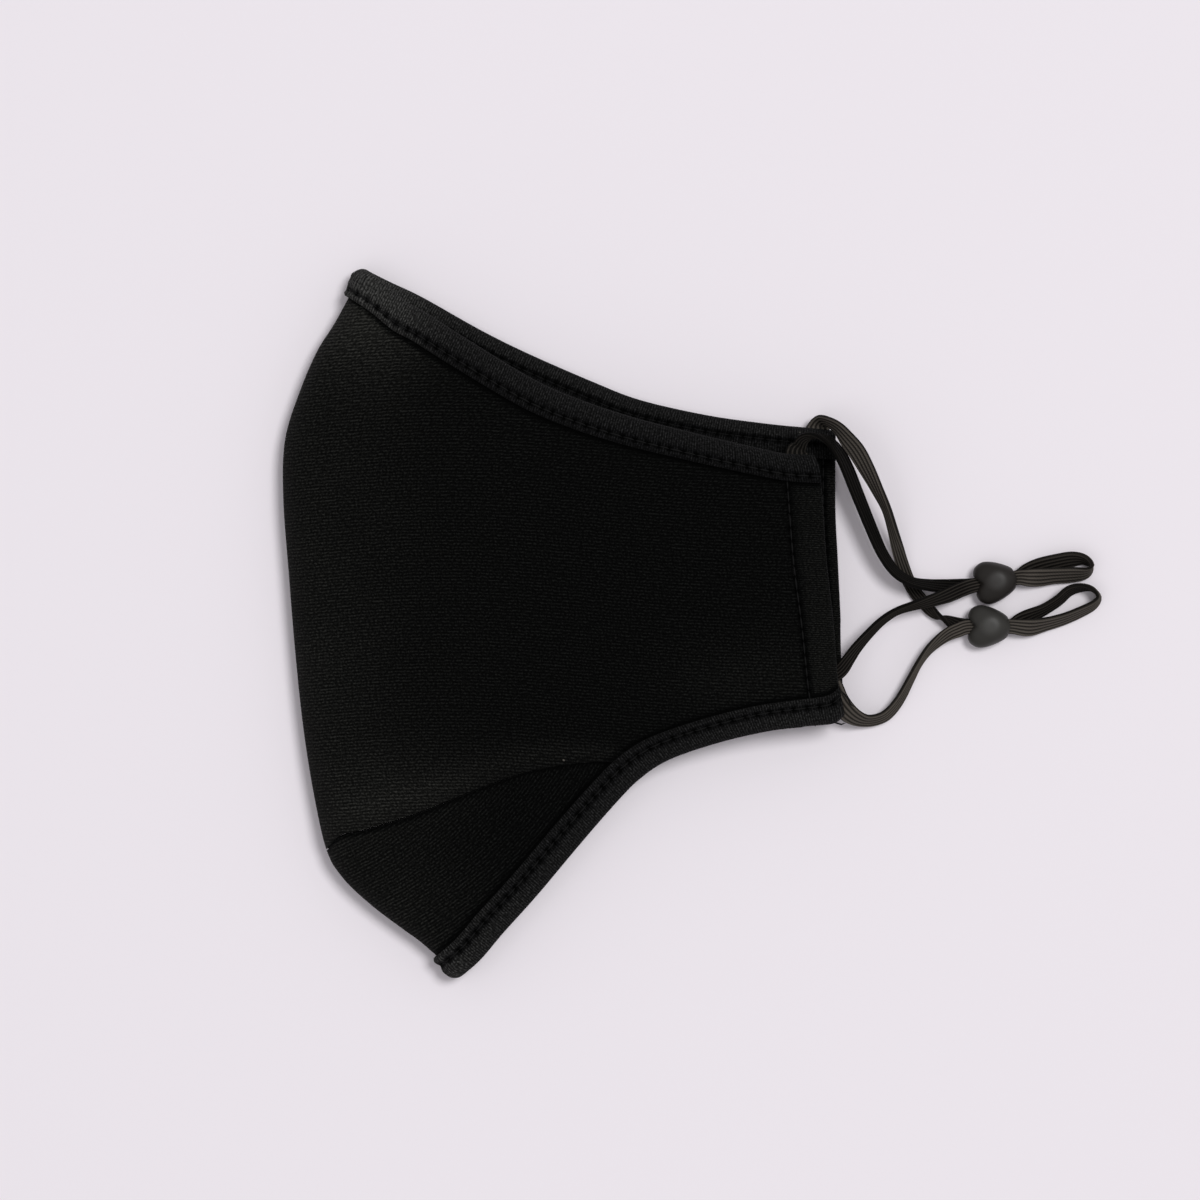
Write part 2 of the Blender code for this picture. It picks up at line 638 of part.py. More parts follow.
def cord_lock(name, place, material):
    """A soft heart, rounded all over, with one flat slot for both strands."""
    x, y, turn = place
    half_outline = HEART + [(0.52, 0.0)] + [(hx, -hy) for hx, hy in reversed(HEART[1:])]
    rings = []
    for level in range(1, LOCK_LEVELS):
        angle = math.pi * level / LOCK_LEVELS
        reach = math.sin(angle) ** LOCK_ROUNDNESS
        high = -math.cos(angle) * LOCK_THICK / 2
        ring = []
        for hx, hy in half_outline:
            ring.append(Vector((hx * LOCK_LENGTH * reach, hy * LOCK_WIDTH * reach, high)))
        rings.append(ring)
    heart = add_rings(name, rings, material)
    slot = add_rings("slot_of_" + name, slot_rings(), None)
    slot.hide_render = True
    slot.display_type = "WIRE"
    cut(heart, slot)
    for item in (heart, slot):
        item.location = (x * ROUTE_UNIT, y * ROUTE_UNIT, LOCK_THICK / 2)
        item.rotation_euler = (0, 0, math.radians(turn))
    return heart


def slot_rings():
    """A flat slot with round ends along the heart's axis."""
    rings = []
    for x in (-LOCK_LENGTH, LOCK_LENGTH):
        ring = []
        for step in range(12):
            angle = 2 * math.pi * step / 12
            side = (SLOT_WIDTH - SLOT_HEIGHT) / 2 * (1 if math.cos(angle) > 0 else -1)
            y = side + SLOT_HEIGHT / 2 * math.cos(angle)
            ring.append(Vector((x, y, SLOT_HEIGHT / 2 * math.sin(angle))))
        rings.append(ring)
    return rings


def build():
    for item in list(bpy.data.objects):
        bpy.data.objects.remove(item, do_unlink=True)
    jersey = add_material("black cotton jersey", (0.0045, 0.0045, 0.0048), 0.92)
    tape = add_material("black ribbed binding tape", (0.0052, 0.0052, 0.0056), 0.9)
    braid = add_material("dark grey braided elastic", (0.023, 0.021, 0.018), 0.8)
    rubber = add_material("matt black silicone rubber", (0.017, 0.017, 0.017), 0.55)
    near = Half(TOP_NEAR, EAR_NEAR, True)
    far = Half(TOP_FAR, EAR_FAR, False)
    near_panel = side_panel(near, "side_panel_near", jersey)
    far_panel = side_panel(far, "side_panel_far", jersey)
    chin_panel(near, "chin_panel_near", jersey)
    chin_panel(far, "chin_panel_far", jersey)
    top = binding(near, far, "top_binding", 1, tape)
    binding(near, far, "lower_binding", 0, tape)
    near_tunnel = tunnel_cutter(near, "near_tunnel")
    far_tunnel = tunnel_cutter(far, "far_tunnel")
    cut(near_panel, near_tunnel)
    cut(far_panel, far_tunnel)
    cut(top, near_tunnel)
    cut(top, far_tunnel)
    elastic(near, "ear_elastic_near", NEAR_ROUTE, braid)
    elastic(far, "ear_elastic_far", FAR_ROUTE, braid)
    cord_lock("cord_lock_near", NEAR_LOCK, rubber)
    cord_lock("cord_lock_far", FAR_LOCK, rubber)


build()
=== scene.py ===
"""The looks of a folded cloth face mask with elastic ear loops and heart-shaped cord locks."""
import math
from functools import partial

import bpy
import numpy as np
from mathutils import Matrix


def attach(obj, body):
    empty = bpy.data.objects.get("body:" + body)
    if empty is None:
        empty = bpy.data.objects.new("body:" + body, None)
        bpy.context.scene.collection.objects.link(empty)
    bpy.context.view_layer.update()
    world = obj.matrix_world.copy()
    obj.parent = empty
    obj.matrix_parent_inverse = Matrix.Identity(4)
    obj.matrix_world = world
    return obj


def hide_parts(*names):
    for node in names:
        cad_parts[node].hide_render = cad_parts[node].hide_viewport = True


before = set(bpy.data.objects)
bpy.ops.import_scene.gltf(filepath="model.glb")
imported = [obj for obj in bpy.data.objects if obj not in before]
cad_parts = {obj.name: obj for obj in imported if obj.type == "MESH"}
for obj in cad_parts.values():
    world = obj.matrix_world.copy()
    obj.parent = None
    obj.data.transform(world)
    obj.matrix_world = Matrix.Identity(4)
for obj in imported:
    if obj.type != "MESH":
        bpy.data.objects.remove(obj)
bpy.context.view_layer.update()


# The view: the mask lies on a pale lilac-grey board and is seen from straight above. A soft
# lamp at the upper right leaves thin grey shadows along its left and lower edges.
MM = 0.001
# The photo: its width in pixels, mm a pixel, and the pixel over the mask's middle
PHOTO_WIDTH = 1200
PIXEL = 0.21
MIDDLE = (563.5, 624.25)
CAMERA_HEIGHT = 1400.0
MASK_HEIGHT = 8.0
SENSOR = 36.0


def place_new(name, data):
    """A new object in the scene."""
    made = bpy.data.objects.new(name, data)
    bpy.context.collection.objects.link(made)
    return made


camera_data = bpy.data.cameras.new("camera")
camera = place_new("camera", camera_data)
camera.location = (
    (PHOTO_WIDTH / 2 - MIDDLE[0]) * PIXEL * MM,
    (MIDDLE[1] - PHOTO_WIDTH / 2) * PIXEL * MM,
    (CAMERA_HEIGHT + MASK_HEIGHT) * MM,
)
camera_data.sensor_width = SENSOR
camera_data.lens = SENSOR * CAMERA_HEIGHT / (PHOTO_WIDTH * PIXEL)
camera_data.clip_start = 0.05
camera_data.clip_end = 10.0
bpy.context.scene.camera = camera
bpy.context.scene.view_settings.view_transform = "Standard"


def linear(colour):
    """A hex colour as the linear numbers that a shader takes."""
    values = [int(colour[place:place + 2], 16) / 255 for place in (1, 3, 5)]
    return [v / 12.92 if v < 0.04045 else ((v + 0.055) / 1.055) ** 2.4 for v in values] + [1.0]


def add_node(tree, kind, inputs=(), out=0, **settings):
    """Add a shader node with its inputs and settings, and give the socket that it puts out;
    an input that is a socket is linked."""
    made = tree.nodes.new("ShaderNode" + kind)
    for name, value in settings.items():
        setattr(made, name, value)
    for name, value in dict(inputs).items():
        if isinstance(value, bpy.types.NodeSocket):
            tree.links.new(value, made.inputs[name])
        else:
            made.inputs[name].default_value = value
    return made.outputs[out]


def start_finish(name, colour, roughness, **more):
    """A new finish: its material, its node tree and its main shader."""
    finish = bpy.data.materials.new(name)
    finish.use_nodes = True
    tree = finish.node_tree
    shader = tree.nodes["Principled BSDF"]
    shader.inputs["Base Color"].default_value = linear(colour)
    shader.inputs["Roughness"].default_value = roughness
    for socket, value in more.items():
        shader.inputs[socket.replace("_", " ")].default_value = value
    return finish, tree, shader


# Painted board: smooth and matt, so it gives an even tone.
board_finish = start_finish("matt lilac grey board", "#ede8ed", 0.85)[0]
BOARD_HALF = 1.5
board_data = bpy.data.meshes.new("board")
board_data.from_pydata([(x * BOARD_HALF, y * BOARD_HALF, 0)
                        for x, y in ((-1, -1), (1, -1), (1, 1), (-1, 1))], [], [(0, 1, 2, 3)])
board_data.materials.append(board_finish)
place_new("board", board_data)

# Lamps: place and size in m
for name, place, size, watts in (
    ("window", (1.40, 1.00, 4.40), 1.50, 118.0),
    ("room", (-0.60, -0.30, 3.20), 3.00, 17.0),
):
    lamp_data = bpy.data.lights.new(name, "AREA")
    lamp_data.shape = "DISK"
    lamp_data.size = size
    lamp_data.energy = watts
    lamp = place_new(name, lamp_data)
    lamp.location = place
    lamp.rotation_euler = (-lamp.location).to_track_quat("-Z", "Y").to_euler()
world = bpy.data.worlds.new("room light")
bpy.context.scene.world = world
world.use_nodes = True
background = world.node_tree.nodes["Background"]
background.inputs["Color"].default_value = linear("#f4f1f5")
background.inputs["Strength"].default_value = 0.40


# Ear loops: a flat braided elastic, 5 mm wide with five cords in it, runs up through each ear
# hem, is joined to a ring and passes twice through a soft silicone heart that shortens it.
BAND_WIDTH = 5.0
BAND_THICK = 0.8
BAND_CORDS = 5
CORD_RISE = 0.09
YARN = 0.6
# Painted shade on the back of the band, as a share of its face's tone
BACK_SHADE = 0.55
# Route of each elastic, in mm: (x, y, z, turn of its face in degrees, share of its width).
# Between the ear and the heart each strand is drawn tight and curls in, so it looks narrower.
NEAR_ROUTE = [
    (49.5, 37.4, 11.8, 8, 0.64), (50.0, 38.5, 12.1, 30, 0.60), (51.3, 39.3, 12.2, 65, 0.66),
    (53.4, 39.3, 11.8, 95, 0.75), (56.0, 38.0, 10.7, 115, 0.85), (58.1, 35.5, 9.5, 124, 0.90),
    (59.7, 32.4, 8.3, 127, 0.90), (61.4, 28.2, 7.5, 127, 0.88), (63.1, 24.0, 7.0, 126, 0.86),
    (65.0, 19.4, 6.6, 125, 0.84), (67.1, 14.8, 6.2, 122, 0.82), (69.8, 11.0, 5.9, 119, 0.80),
    (73.2, 8.9, 5.5, 118, 0.76), (77.0, 8.2, 4.1, 130, 0.72), (80.6, 8.0, 2.7, 150, 0.68),
    (83.8, 8.0, 2.3, 170, 0.64), (86.6, 8.2, 2.5, 180, 0.62), (91.2, 9.0, 2.5, 180, 0.62),
    (95.6, 9.8, 2.3, 182, 0.62), (98.0, 11.1, 2.0, 203, 0.80), (100.6, 12.2, 2.1, 223, 1.0),
    (103.6, 13.0, 2.2, 227, 1.0), (107.2, 13.7, 2.35, 232, 1.0), (109.7, 13.6, 2.6, 250, 1.0),
    (111.3, 12.2, 2.65, 270, 1.0), (110.1, 10.8, 2.6, 295, 1.0), (107.2, 10.4, 2.5, 308, 1.0),
    (103.6, 10.2, 2.7, 312, 1.0), (100.6, 9.9, 3.0, 320, 1.0), (98.0, 9.8, 3.7, 339, 0.80),
    (95.6, 9.8, 3.6, 358, 0.62), (91.2, 9.0, 3.5, 360, 0.62), (86.6, 8.2, 3.5, 360, 0.62),
    (83.8, 7.3, 4.1, 354, 0.64), (80.6, 6.0, 5.3, 338, 0.68), (77.0, 4.9, 6.7, 314, 0.68),
    (73.2, 3.8, 7.3, 296, 0.68), (69.8, 2.6, 7.4, 290, 0.68), (66.7, 0.5, 7.3, 295, 0.66),
    (63.7, -2.5, 7.5, 302, 0.64), (61.4, -5.2, 7.7, 315, 0.62), (59.8, -7.5, 7.9, 335, 0.60),
    (58.4, -9.5, 8.1, 355, 0.60), (56.9, -10.6, 8.2, 360, 0.60), (55.2, -10.5, 8.3, 360, 0.60),
    (54.0, -9.0, 8.9, 360, 0.62), (53.5, -6.8, 10.1, 360, 0.80), (53.3, -4.6, 11.3, 360, 0.95),
    (53.0, -1.6, 11.93, 360, 1.0), (52.2, 4.7, 11.99, 360, 1.0), (51.5, 10.9, 12.09, 360, 1.0),
    (50.9, 17.2, 12.17, 360, 1.0), (50.6, 23.5, 12.2, 360, 1.0), (50.2, 29.7, 12.1, 360, 1.0),
    (48.9, 35.6, 11.75, 360, 1.0),
]
FAR_ROUTE = [
    (53.6, 42.0, 3.2, 8, 0.80), (54.3, 42.7, 4.4, 35, 0.70), (55.5, 42.5, 6.9, 62, 0.68),
    (57.3, 41.2, 9.9, 58, 0.80), (59.1, 39.1, 11.8, 50, 0.95), (61.4, 36.2, 11.8, 45, 1.0),
    (63.6, 32.4, 11.0, 50, 0.95), (65.8, 28.2, 9.5, 60, 0.86), (67.9, 24.0, 7.4, 68, 0.76),
    (69.3, 19.8, 5.2, 60, 0.68), (70.4, 16.0, 3.0, 38, 0.62), (71.4, 12.7, 1.6, 20, 0.58),
    (72.6, 9.5, 1.1, 8, 0.56), (74.1, 6.8, 1.1, 8, 0.56), (75.7, 4.9, 1.2, 15, 0.56),
    (77.4, 2.9, 1.7, 38, 0.58), (79.3, 1.5, 2.5, 80, 0.60), (81.3, 0.6, 2.0, 135, 0.62),
    (83.2, -0.1, 2.1, 168, 0.62), (85.2, -0.4, 2.5, 180, 0.62), (89.8, -0.5, 2.5, 180, 0.62),
    (94.2, -0.5, 2.4, 182, 0.62), (96.4, 0.6, 2.2, 205, 0.80), (98.6, 1.8, 2.4, 232, 1.0),
    (101.3, 3.1, 2.5, 243, 1.0), (104.3, 5.0, 2.45, 245, 1.0), (106.6, 7.0, 2.45, 247, 1.0),
    (109.1, 7.7, 2.5, 255, 1.0), (111.4, 7.4, 2.6, 268, 1.0), (112.8, 5.8, 2.6, 278, 1.0),
    (111.8, 4.1, 2.55, 288, 1.0), (109.3, 2.7, 2.5, 293, 1.0), (105.5, 1.1, 2.5, 297, 1.0),
    (101.3, -0.1, 2.7, 304, 1.0), (98.6, -0.7, 3.1, 322, 0.90), (96.4, -0.7, 3.4, 345, 0.72),
    (94.2, -0.5, 3.5, 358, 0.62), (89.8, -0.5, 3.5, 360, 0.62), (85.2, -0.6, 3.5, 360, 0.62),
    (83.2, -1.2, 3.9, 354, 0.62), (81.4, -1.9, 4.0, 340, 0.62), (79.4, -3.2, 3.5, 320, 0.62),
    (77.0, -5.4, 2.9, 300, 0.62), (74.9, -8.3, 2.6, 290, 0.62), (73.0, -11.9, 2.55, 295, 0.64),
    (71.4, -15.0, 2.45, 300, 0.68), (69.8, -17.4, 2.4, 303, 0.72), (67.9, -19.3, 2.4, 304, 0.76),
    (65.6, -20.2, 2.7, 304, 0.78), (63.2, -20.3, 3.9, 310, 0.80), (61.2, -19.6, 5.6, 335, 0.80),
    (59.5, -18.3, 6.7, 355, 0.85), (57.9, -16.3, 6.95, 360, 0.90), (56.6, -14.0, 6.95, 360, 1.0),
    (55.5, -11.3, 6.2, 360, 1.0), (55.1, -8.2, 4.5, 360, 1.0), (55.0, -5.0, 2.7, 360, 1.0),
    (54.9, -1.5, 1.75, 360, 1.0), (54.5, 5.6, 1.75, 360, 1.0), (54.1, 12.8, 1.75, 360, 1.0),
    (53.7, 19.9, 1.75, 360, 1.0), (53.5, 26.7, 2.4, 360, 1.0), (53.6, 34.1, 3.05, 360, 1.0),
    (53.6, 41.2, 3.05, 360, 1.0),
]
# Painted shade of each elastic along its route, darker where a strand lies in shade: (row, share)
NEAR_SHADE_TONES = [(0, 0.22), (16, 0.22), (19, 0.75), (23, 1.0), (29, 1.0), (33, 0.32), (48, 0.32)]
FAR_SHADE_TONES = [(0, 1.0), (10, 1.0), (13, 0.45), (19, 0.45), (22, 0.70), (27, 0.70), (30, 1.0)]
# Each heart: middle (x, y) in mm and the turn of its tip in degrees
NEAR_LOCK = (91.1, 9.0, 10.0)
FAR_LOCK = (89.7, -0.5, -1.0)
LOCK_LENGTH = 9.2
LOCK_WIDTH = 9.0
LOCK_THICK = 6.0
SLOT_WIDTH = 4.2
SLOT_HEIGHT = 2.8
# The heart's side is fuller than round, and its lobes melt into a plain dome on top
LOCK_FULLNESS = 0.62
LOCK_DOME = 0.44
DOME_START = 0.60
# Half of the heart's outline, cleft to tip, as shares of its length and width: (x, y)
HEART = [
    (-0.38, 0.00), (-0.46, 0.12), (-0.49, 0.26), (-0.42, 0.41), (-0.24, 0.50),
    (-0.02, 0.47), (0.22, 0.37), (0.40, 0.25), (0.50, 0.09),
]


def smooth_line(rows, per_span):
    """A smooth line through all rows of numbers but the first and last."""
    rows = np.asarray(rows, float)
    t = (np.arange(per_span) / per_span)[None, :, None]
    a, b, c, d = (rows[k:len(rows) - 3 + k, None] for k in range(4))
    line = 0.5 * (2 * b + (c - a) * t + (2 * a - 5 * b + 4 * c - d) * t ** 2
                  + (3 * b - a - 3 * c + d) * t ** 3)
    return np.vstack([line.reshape(-1, rows.shape[1]), rows[-2]])


def run_length(points):
    """Distance along a line of points, from 0 at its start."""
    steps = np.linalg.norm(np.diff(points, axis=0), axis=1)
    return np.concatenate([[0.0], np.cumsum(steps)])


def evenly(line, step):
    """The line again in equal steps, and the distance along it."""
    run = run_length(line[:, :3])
    wanted = np.linspace(0.0, run[-1], int(round(run[-1] / step)) + 1)
    columns = [np.interp(wanted, run, line[:, k]) for k in range(line.shape[1])]
    return np.stack(columns, 1), wanted


def unit(vectors):
    """The same directions at length 1."""
    return vectors / np.linalg.norm(vectors, axis=-1, keepdims=True)


def add_piece(name, points, faces, finish, uv=None, painted_light=None):
    """A closed, smooth piece from points in mm; uv places its patterns, in mm too, and the last
    says where painted light makes it greyer and painted shade makes it darker."""
    mesh = bpy.data.meshes.new(name)
    mesh.from_pydata((np.reshape(points, (-1, 3)) * MM).tolist(), [], faces)
    mesh.shade_smooth()
    mesh.set_sharp_from_angle(angle=math.radians(50))
    if uv is not None:
        corners = np.zeros(len(mesh.loops), np.int32)
        mesh.loops.foreach_get("vertex_index", corners)
        layer = mesh.uv_layers.new(name="cloth")
        layer.uv.foreach_set("vector", np.reshape(uv, (-1, 2))[corners].astype(np.float32).ravel())
    if painted_light is not None:
        layer = mesh.attributes.new("painted_light", "FLOAT", "POINT")
        layer.data.foreach_set("value", np.ravel(painted_light).astype(np.float32))
    mesh.materials.append(finish)
    return place_new(name, mesh)


def ring_faces(rings, around, closed=False, start=0):
    """Faces of a tube of rings, with end caps unless it closes on itself."""
    k = np.arange(rings if closed else rings - 1)[:, None]
    j = np.arange(around)[None]
    after = (k + 1) % rings
    beside = (j + 1) % around
    quads = np.stack([k * around + j, k * around + beside,
                      after * around + beside, after * around + j], -1) + start
    faces = quads.reshape(-1, 4).tolist()
    if not closed:
        faces.append(list(range(start + around - 1, start - 1, -1)))
        faces.append(list(range(start + (rings - 1) * around, start + rings * around)))
    return faces


# Braided polyester over rubber cords: matt and warm grey, with painted shade in the grooves
# between the cords and fine slanting yarns that cross in a V on each cord, 0.6 mm apart: coarser
# than real. The back of the band gets more painted shade than its face, and where the painted
# shade is deeper its cords show thinner.
def elastic_finish(name, groove, crest):
    finish, tree, shader = start_finish(
        name, groove, 0.7, Sheen_Weight=0.01, Sheen_Roughness=0.5, Specular_IOR_Level=0.04
    )
    node = partial(add_node, tree)
    place = node("UVMap", uv_map="cloth")
    across = node("SeparateXYZ", {0: place}, out="X")
    along = node("SeparateXYZ", {0: place}, out="Y")
    cord = node("Math", {0: across, 1: BAND_WIDTH / BAND_CORDS / 2}, operation="PINGPONG")
    slant = node("Math", {0: along, 1: cord}, operation="ADD")
    turns = node("Math", {0: slant, 1: 2 * math.pi / YARN}, operation="MULTIPLY")
    yarn = node("Math", {0: turns}, operation="SINE")
    fuzz = node("TexNoise", {"Vector": place, "Scale": 2.5, "Detail": 4.0}, out="Fac")
    height = node("Math", {0: yarn, 1: fuzz}, operation="ADD")
    bump = node("Bump", {"Height": height, "Strength": 0.5, "Distance": 0.06 * MM})
    # Painted shade along the route and on the band's back
    face = node("Attribute", out="Fac", attribute_name="painted_light")
    start = node("Math", {0: face, 1: -0.24, 2: 0.30}, operation="MULTIPLY_ADD")
    upon = node("MapRange", {"Value": cord, "From Min": start, "From Max": 0.46, "To Max": 0.90})
    share = node("Math", {0: fuzz, 1: 0.22, 2: upon}, operation="MULTIPLY_ADD", use_clamp=True)
    tone = node("Mix", {0: share, 6: linear(groove), 7: linear(crest)}, out=2, data_type="RGBA")
    shaded_band = node("VectorMath", {0: tone, "Scale": face}, operation="SCALE")
    tree.links.new(shaded_band, shader.inputs["Base Color"])
    tree.links.new(bump, shader.inputs["Normal"])
    return finish


def elastic(name, route, shade_tones, finish):
    """A flat ring of elastic with its cords showing as ribs on both faces."""
    rows = np.column_stack([route, np.interp(np.arange(len(route)), *zip(*shade_tones))])
    before = rows[-1] - (0, 0, 0, 360, 0, 0)
    after = rows[:2] + (0, 0, 0, 360, 0, 0)
    line, run = evenly(smooth_line(np.vstack([before, rows, after]), 8), 0.5)
    line = line[:-1]
    middle = line[:, :3]
    heading = unit(np.roll(middle, -1, 0) - np.roll(middle, 1, 0))
    level = unit(np.cross(heading, (0, 0, 1)))
    rise = unit(np.cross(level, heading))
    turn = np.radians(line[:, 3:4])
    side = level * np.cos(turn) - rise * np.sin(turn)
    out = level * np.sin(turn) + rise * np.cos(turn)
    across = np.linspace(-0.5, 0.5, BAND_CORDS * 4 + 1)
    rib = CORD_RISE * np.cos(2 * math.pi * BAND_CORDS * across)
    edge = BAND_THICK / 2 * np.sqrt(np.clip(1 - (np.abs(across) / 0.5) ** 10, 0.05, 1))
    top = np.stack([across, edge + rib], 1)
    section = np.vstack([top[::-1], np.stack([across, -edge - rib], 1)])
    width = BAND_WIDTH * line[:, 4]
    points = (middle[:, None]
              + side[:, None] * (section[None, :, 0, None] * width[:, None, None])
              + out[:, None] * section[None, :, 1, None])
    uv = np.stack(np.broadcast_arrays((section[None, :, 0] + 0.5) * BAND_WIDTH,
                                      run[:-1, None]), -1)
    # Painted shade: each strand's share along its route, and less again on the back of the band
    face = line[:, 5:6] * np.where(section[:, 1] > 0, 1.0, BACK_SHADE)
    piece = add_piece(name, points, ring_faces(len(points), len(section), True), finish, uv, face)
    return piece, middle * MM, run[-1] * MM


braid = elastic_finish("dark grey braided elastic", "#0f0e0d", "#544f49")
near_elastic, near_path, near_length = elastic("near_elastic", NEAR_ROUTE, NEAR_SHADE_TONES, braid)
far_elastic, far_path, far_length = elastic("far_elastic", FAR_ROUTE, FAR_SHADE_TONES, braid)


# Moulded silicone: satin black-brown, with soft wide highlights. Its matt skin has 2.6 grains
# a mm, coarser than real, and a slight haze in patches of about 3 mm.
def silicone_finish(name, colour):
    finish, tree, shader = start_finish(
        name, colour, 0.5, IOR=1.41, Specular_IOR_Level=0.32, Coat_Weight=0.14, Coat_Roughness=0.36
    )
    node = partial(add_node, tree)
    place = node("TexCoord", out="Object")
    skin = node("TexNoise", {"Vector": place, "Scale": 2.6 / MM, "Detail": 3.0}, out="Fac")
    bump = node("Bump", {"Height": skin, "Strength": 0.25, "Distance": 0.03 * MM})
    haze = node("TexNoise", {"Vector": place, "Scale": 0.32 / MM, "Detail": 2.0}, out="Fac")
    matt = node("MapRange", {"Value": haze, "To Min": 0.46, "To Max": 0.64})
    tree.links.new(matt, shader.inputs["Roughness"])
    tree.links.new(bump, shader.inputs["Normal"])
    return finish


def slot_cutter(length):
    """A flat slot with round ends along the heart's axis."""
    angle = np.linspace(0, 2 * math.pi, 32, endpoint=False)
    side = (SLOT_WIDTH - SLOT_HEIGHT) / 2 * np.sign(np.cos(angle) + 1e-9)
    section = np.stack([side + SLOT_HEIGHT / 2 * np.cos(angle),
                        SLOT_HEIGHT / 2 * np.sin(angle)], 1)
    points = [[(x, y, z) for y, z in section] for x in (-length, length)]
    return add_piece("slot", points, ring_faces(2, len(section)), None)


def carve(piece, cutter):
    """Cut one piece out of another for good, and remove the cutter."""
    tool = piece.modifiers.new("cut", "BOOLEAN")
    tool.operation = "DIFFERENCE"
    tool.solver = "EXACT"
    tool.object = cutter
    bpy.context.view_layer.update()
    result = bpy.data.meshes.new_from_object(
        piece.evaluated_get(bpy.context.evaluated_depsgraph_get())
    )
    piece.modifiers.clear()
    piece.data = result
    bpy.data.objects.remove(cutter)


def smoothstep(value):
    """From 0 to 1 with soft ends, as value goes from 0 to 1."""
    value = np.clip(value, 0.0, 1.0)
    return value * value * (3.0 - 2.0 * value)


def heart(name, place, finish):
    """A soft heart, rounded all over, with one slot for both strands."""
    x, y, turn = place
    half = np.array(HEART)
    whole = np.vstack([half, [(0.52, 0.0)], (half * (1, -1))[:0:-1]])
    rows = np.vstack([whole[-1], whole, whole[:2]])
    outline = smooth_line(rows, 5)[:-1] * (LOCK_LENGTH, LOCK_WIDTH)
    angles = np.linspace(0, math.pi, 34)[1:-1, None]
    reach = np.sin(angles) ** LOCK_FULLNESS
    heights = np.broadcast_to(-np.cos(angles) * LOCK_THICK / 2, (len(angles), len(outline)))
    dome = unit(outline) * (LOCK_LENGTH * LOCK_DOME, LOCK_WIDTH * LOCK_DOME)
    lobed = smoothstep((reach - DOME_START) / (1 - DOME_START))[..., None]
    flat = reach[..., None] * (outline * lobed + dome * (1 - lobed))
    points = np.concatenate([flat, heights[..., None]], -1)
    piece = add_piece(name, points, ring_faces(len(points), len(outline)), finish)
    carve(piece, slot_cutter(LOCK_LENGTH))
    laid = Matrix.Translation((x * MM, y * MM, LOCK_THICK / 2 * MM))
    piece.data.transform(laid @ Matrix.Rotation(math.radians(turn), 4, "Z"))
    piece.data.shade_smooth()
    piece.data.set_sharp_from_angle(angle=math.radians(40))
    return piece


near_lock = heart("near_heart_lock", NEAR_LOCK, silicone_finish("brown-black silicone", "#1c1916"))
far_lock = heart("far_heart_lock", FAR_LOCK, silicone_finish("black silicone", "#2c2b28"))
for piece, path, length, lock, node, lock_node in (
    (near_elastic, near_path, near_length, near_lock, "ear_elastic_near", "cord_lock_near"),
    (far_elastic, far_path, far_length, far_lock, "ear_elastic_far", "cord_lock_far"),
):
    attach(piece, "root")
    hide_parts(node)
    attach(lock, "root")
    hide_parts(lock_node)


# The folded mask's two halves: black cotton jersey, two plies, folded along the front centre
# line. Each half is one sheet between four edges: front fold, top, ear and lower edge.
# Size of the folded mask in mm, front to ear and tip to tip, and how far its near half rises
DEPTH = 118.0
HEIGHT = 150.7
RISE = 14.6
# The front fold: its height, and how wide it turns over on each half and at its tips
FOLD_HEIGHT = 4.85
NEAR_ROLL = 7.0
FAR_ROLL = 6.0
TIP_ROLL = 3.6
# Two plies of cloth, the gap between pieces, and the binding tape's thickness and width
CLOTH = 1.5
CLEARANCE = 0.3
TAPE = 1.0
TAPE_WIDTH = 6.3
# The ear hem: its width, its plies over and under the elastic, and the slope of its step
HEM_WIDTH = 7.5
HEM_FACE = 1.1
HEM_BACK = 1.0
HEM_STEP = 0.5
# The elastic's tunnel in the hem, and how far its mouth to the inside lies above the foot
TUNNEL_WIDTH = 5.6
TUNNEL_HEIGHT = 1.3
MOUTH_LOW = 8.7
MOUTH_HIGH = 18.7
HEM = HEM_FACE + TUNNEL_HEIGHT + HEM_BACK
TUNNEL_INSET = HEM_WIDTH / 2 - 0.15
# The far half's edges are lifted by the tape under them, and sink back to the board
LIFT = TAPE + CLEARANCE
LIFT_END = 8.5
LIFT_FADE = 20.0
# Where the turn of the fold ends and the hem begins, as shares across
ROLL_SHARE = 0.25
HEM_SHARE = 0.90
# Edges seen from above, as shares of DEPTH and HEIGHT: (x, y)
FRONT_FOLD = [
    (0.317, 0.007), (0.281, 0.032), (0.244, 0.057), (0.212, 0.075), (0.155, 0.109),
    (0.107, 0.145), (0.077, 0.185), (0.053, 0.269), (0.035, 0.360), (0.021, 0.464),
    (0.010, 0.569), (0.000, 0.676), (0.003, 0.757), (0.030, 0.826), (0.061, 0.882),
    (0.090, 0.918), (0.116, 0.955), (0.144, 0.997),
]
TOP_NEAR = [
    (0.144, 0.997), (0.185, 0.974), (0.223, 0.949), (0.258, 0.934), (0.315, 0.905),
    (0.445, 0.843), (0.538, 0.811), (0.632, 0.787), (0.721, 0.769), (0.778, 0.758),
    (0.881, 0.740), (0.945, 0.736),
]
TOP_FAR = [
    (0.144, 0.997), (0.190, 0.979), (0.249, 0.957), (0.351, 0.912), (0.436, 0.879),
    (0.550, 0.840), (0.636, 0.814), (0.753, 0.793), (0.849, 0.782), (0.920, 0.776),
    (0.985, 0.771),
]
EAR_NEAR = [
    (0.999, 0.372), (0.988, 0.422), (0.979, 0.506), (0.967, 0.590), (0.961, 0.659),
    (0.956, 0.708), (0.945, 0.736),
]
EAR_FAR = [
    (0.999, 0.372), (0.997, 0.450), (0.995, 0.507), (0.990, 0.590), (0.986, 0.656),
    (0.985, 0.771),
]
LOWER_EDGE = [
    (0.317, 0.007), (0.354, 0.033), (0.393, 0.069), (0.454, 0.122), (0.529, 0.192),
    (0.591, 0.248), (0.636, 0.284), (0.689, 0.311), (0.778, 0.335), (0.867, 0.351),
    (0.935, 0.357), (0.980, 0.361), (0.999, 0.372),
]
